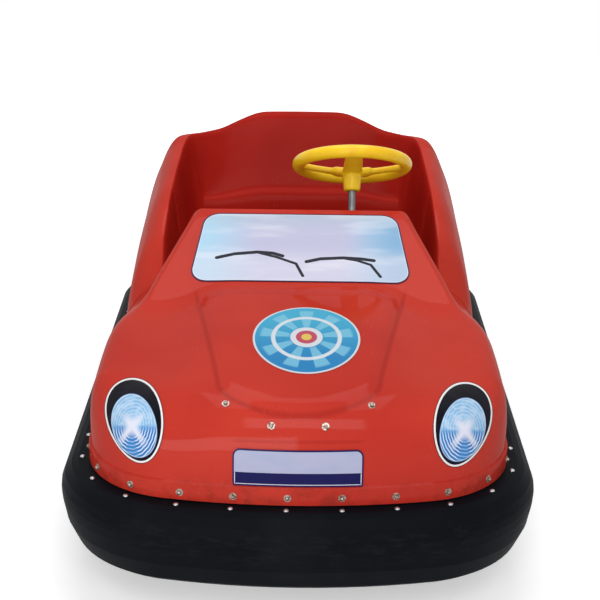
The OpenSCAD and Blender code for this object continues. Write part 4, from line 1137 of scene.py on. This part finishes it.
screen_outline = rounded(screen_half_foot, screen_half_top, screen_low, screen_high, 38, 46)
print_piece("windscreen_print", "windscreen_panel", screen_outline, on_deck, screen_print(), rings=36)
turn = round_turns(120)
sticker_outline = points_of(
    sticker_x + sticker_half * np.cos(turn), sticker_y + sticker_long * np.sin(turn),
)
print_piece("bonnet_sticker_print", "bonnet_sticker", sticker_outline, on_deck, sticker_print())

field_ink, lens_ink = lamp_field_print(), lamp_lens_print()


def egg(half_w, half_h, point, up):
    """Oval outline, wider above by point, its middle up, leaning outwards."""
    a = round_turns(160)
    v = half_h * np.sin(a) + up
    return points_of(half_w * np.cos(a) * (1 + point * np.sin(a)) + v * lamp_lean, v)


for side, hand in hands:
    field, lens = egg(*field_egg), egg(*lens_egg)
    if side < 0:
        field, lens = field[::-1] * (-1, 1), lens[::-1] * (-1, 1)
    place = on_lamp(side)
    print_piece(f"headlamp_surround_{hand}", f"headlamp_field_{hand}", field, place, field_ink)
    print_piece(
        f"headlamp_print_{hand}", f"headlamp_lens_{hand}", lens, place, lens_ink, lens_lift, lens_thick,
    )

plate_outline = rounded(plate_half, plate_half, plate_low, plate_high, 3, 14)
print_piece("number_plate_print", "number_plate", plate_outline, on_nose, plate_print(), thick=plate_thick)

steering_wheel_piece(yellow)
tread = tyre_rubber()
tyre_piece(
    "drive_tyre_tread", "drive_tyre", "drive_wheel", (0, drive_y, drive_r),
    drive_r, drive_width, drive_rim_r, (-20, 0, 20), tread,
)
for side, hand in hands:
    tyre_piece(
        f"rear_tyre_tread_{hand}", f"rear_tyre_{hand}", f"rear_wheel_{hand}",
        (side * rear_track, axle_y, rear_r), rear_r, rear_width, rear_rim_r, (-12, 12), tread,
    )

bolt = bolt_tree("bolt_row")
capped = head_object(
    "capped_bolt", ([(11.5, -1), (11.5, 1.0), (10.9, 1.8), (5, 1.8)], 28),
    ([(6.2, 1.5), (6.2, 4.6), (5.6, 6.4), (4.4, 7.8), (2.6, 8.8), (0.6, 9.2)], 14),
)
domed = head_object(
    "domed_bolt", ([(9.5, -2), (9.5, 0.8), (8.8, 2.6), (7, 4.2), (4, 5.4), (0.8, 5.8)], 24),
)
points, normals = on_body(*evenly_round(skirt_inset, skirt_bolt_gap, skirt_bolt_start), skirt_bolt_w)
bolts("skirt_bolts", bolt, capped, zinc_bolt, points, normals, body_bolt_scale, 3)

rubber_f, side = evenly_round(rubber_bolt_inset, rubber_bolt_gap, rubber_bolt_start)
flat = plan_at(rubber_bolt_inset, rubber_f)
points = points_of(flat[:, 0] * side, flat[:, 1], rubber_top)
normals = np.tile([0, 0, 1.0], (len(points), 1))
bolts("bumper_bolts", bolt, domed, dull_bolt, points, normals, rubber_bolt_scale, 5)

nose_f, nose_w = np.array(nose_bolt_places * 2).T
points, normals = on_body(nose_f, np.array([1.0, 1.0, -1.0, -1.0]), nose_w)
bolts("nose_bolts", bolt, capped, zinc_bolt, points, normals, body_bolt_scale, 7)
for obj in (capped, domed):
    bpy.data.objects.remove(obj)

kept_nodes = (
    (rubber, ("bumper_rubber",)),
    (bench_red, ("dash_panel",)),
    (battery_case(), ("battery_block",)),
    (zinc, ("floor_plate", "drag_link")),
    (bright, ("steering_shaft", "rear_axle")),
    (cast, ("drive_fork", "kingpin_arm", "drive_hub", "steering_gearbox", "drop_arm", "rear_hub_left",
            "rear_hub_right")),
    (black, ("bumper_band", "frame_rail_left", "frame_rail_right", "cross_bar_front", "cross_bar_bulkhead",
             "cross_bar_seat", "cross_bar_rear", "foot_pedal", "drive_bridge", "column_bracket",
             "axle_bracket_left", "axle_bracket_right")),
)
for finish, names in kept_nodes:
    for name in names:
        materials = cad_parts[name].data.materials
        materials.clear()
        materials.append(finish)

# Camera, light and floor
view = bpy.data.cameras.new("photo_view")
view.lens, view.sensor_width, view.clip_end = photo_lens, 36.0, 100.0
camera = placed("photo_view", view)
camera.location = photo_place
pitch, roll = math.radians(90 - photo_pitch), math.radians(photo_roll)
camera.rotation_euler = (Matrix.Rotation(pitch, 3, "X") @ Matrix.Rotation(roll, 3, "Z")).to_euler()
scene.camera = camera


def lamp(name, place, size, power):
    """White panel that faces the middle of the car."""
    data = bpy.data.lights.new(name, "AREA")
    data.shape, data.energy = "RECTANGLE", power
    data.size, data.size_y = size
    obj = placed(name, data)
    obj.location = place
    obj.rotation_euler = (Vector((0, 0, 0.4)) - Vector(place)).to_track_quat("-Z", "Y").to_euler()


lamp("key_panel", (0.1, -3.5, 2.9), (2.0, 1.6), 48)
lamp("top_panel", (0.0, 0.2, 3.6), (2.6, 2.6), 54)
lamp("fill_panel", (-0.9, -3.6, 0.65), (1.8, 0.9), 26)

floor_finish = Finish("pale_floor", Roughness=0.6, Emission_Strength=0.95)
x, y, _ = floor_finish.xyz()
far = (x * x + y * y).sqrt().over(1.6, 5.0)
base = floor_finish.mix((0.80, 0.80, 0.80), ((0.78, 0.78, 0.78), floor_finish.noise(3.0, 4.0)))
glow = floor_finish.mix((0.5, 0.5, 0.5), ((1, 1, 1), far))
floor_finish.set("Emission_Color", floor_finish.mix((0, 0, 0), (glow, floor_finish.shown())))
corners = [(-1, -1), (1, -1), (1, 1), (-1, 1)]
plane = bpy.data.meshes.new("floor")
plane.from_pydata([(a * floor_half, b * floor_half, 0) for a, b in corners], [], [(0, 1, 2, 3)])
floor = placed("floor", plane)
floor.data.materials.append(floor_finish.done(base))

world = bpy.data.worlds.new("studio")
scene.world = world
world.use_nodes = True
sky, back = Nodes(world.node_tree), world.node_tree.nodes["Background"]
sky.put(back.inputs["Color"], (1, 1, 1))
sky.put(back.inputs["Strength"], world_light + sky.shown() * (1 - world_light))

scene.view_settings.view_transform = "Standard"
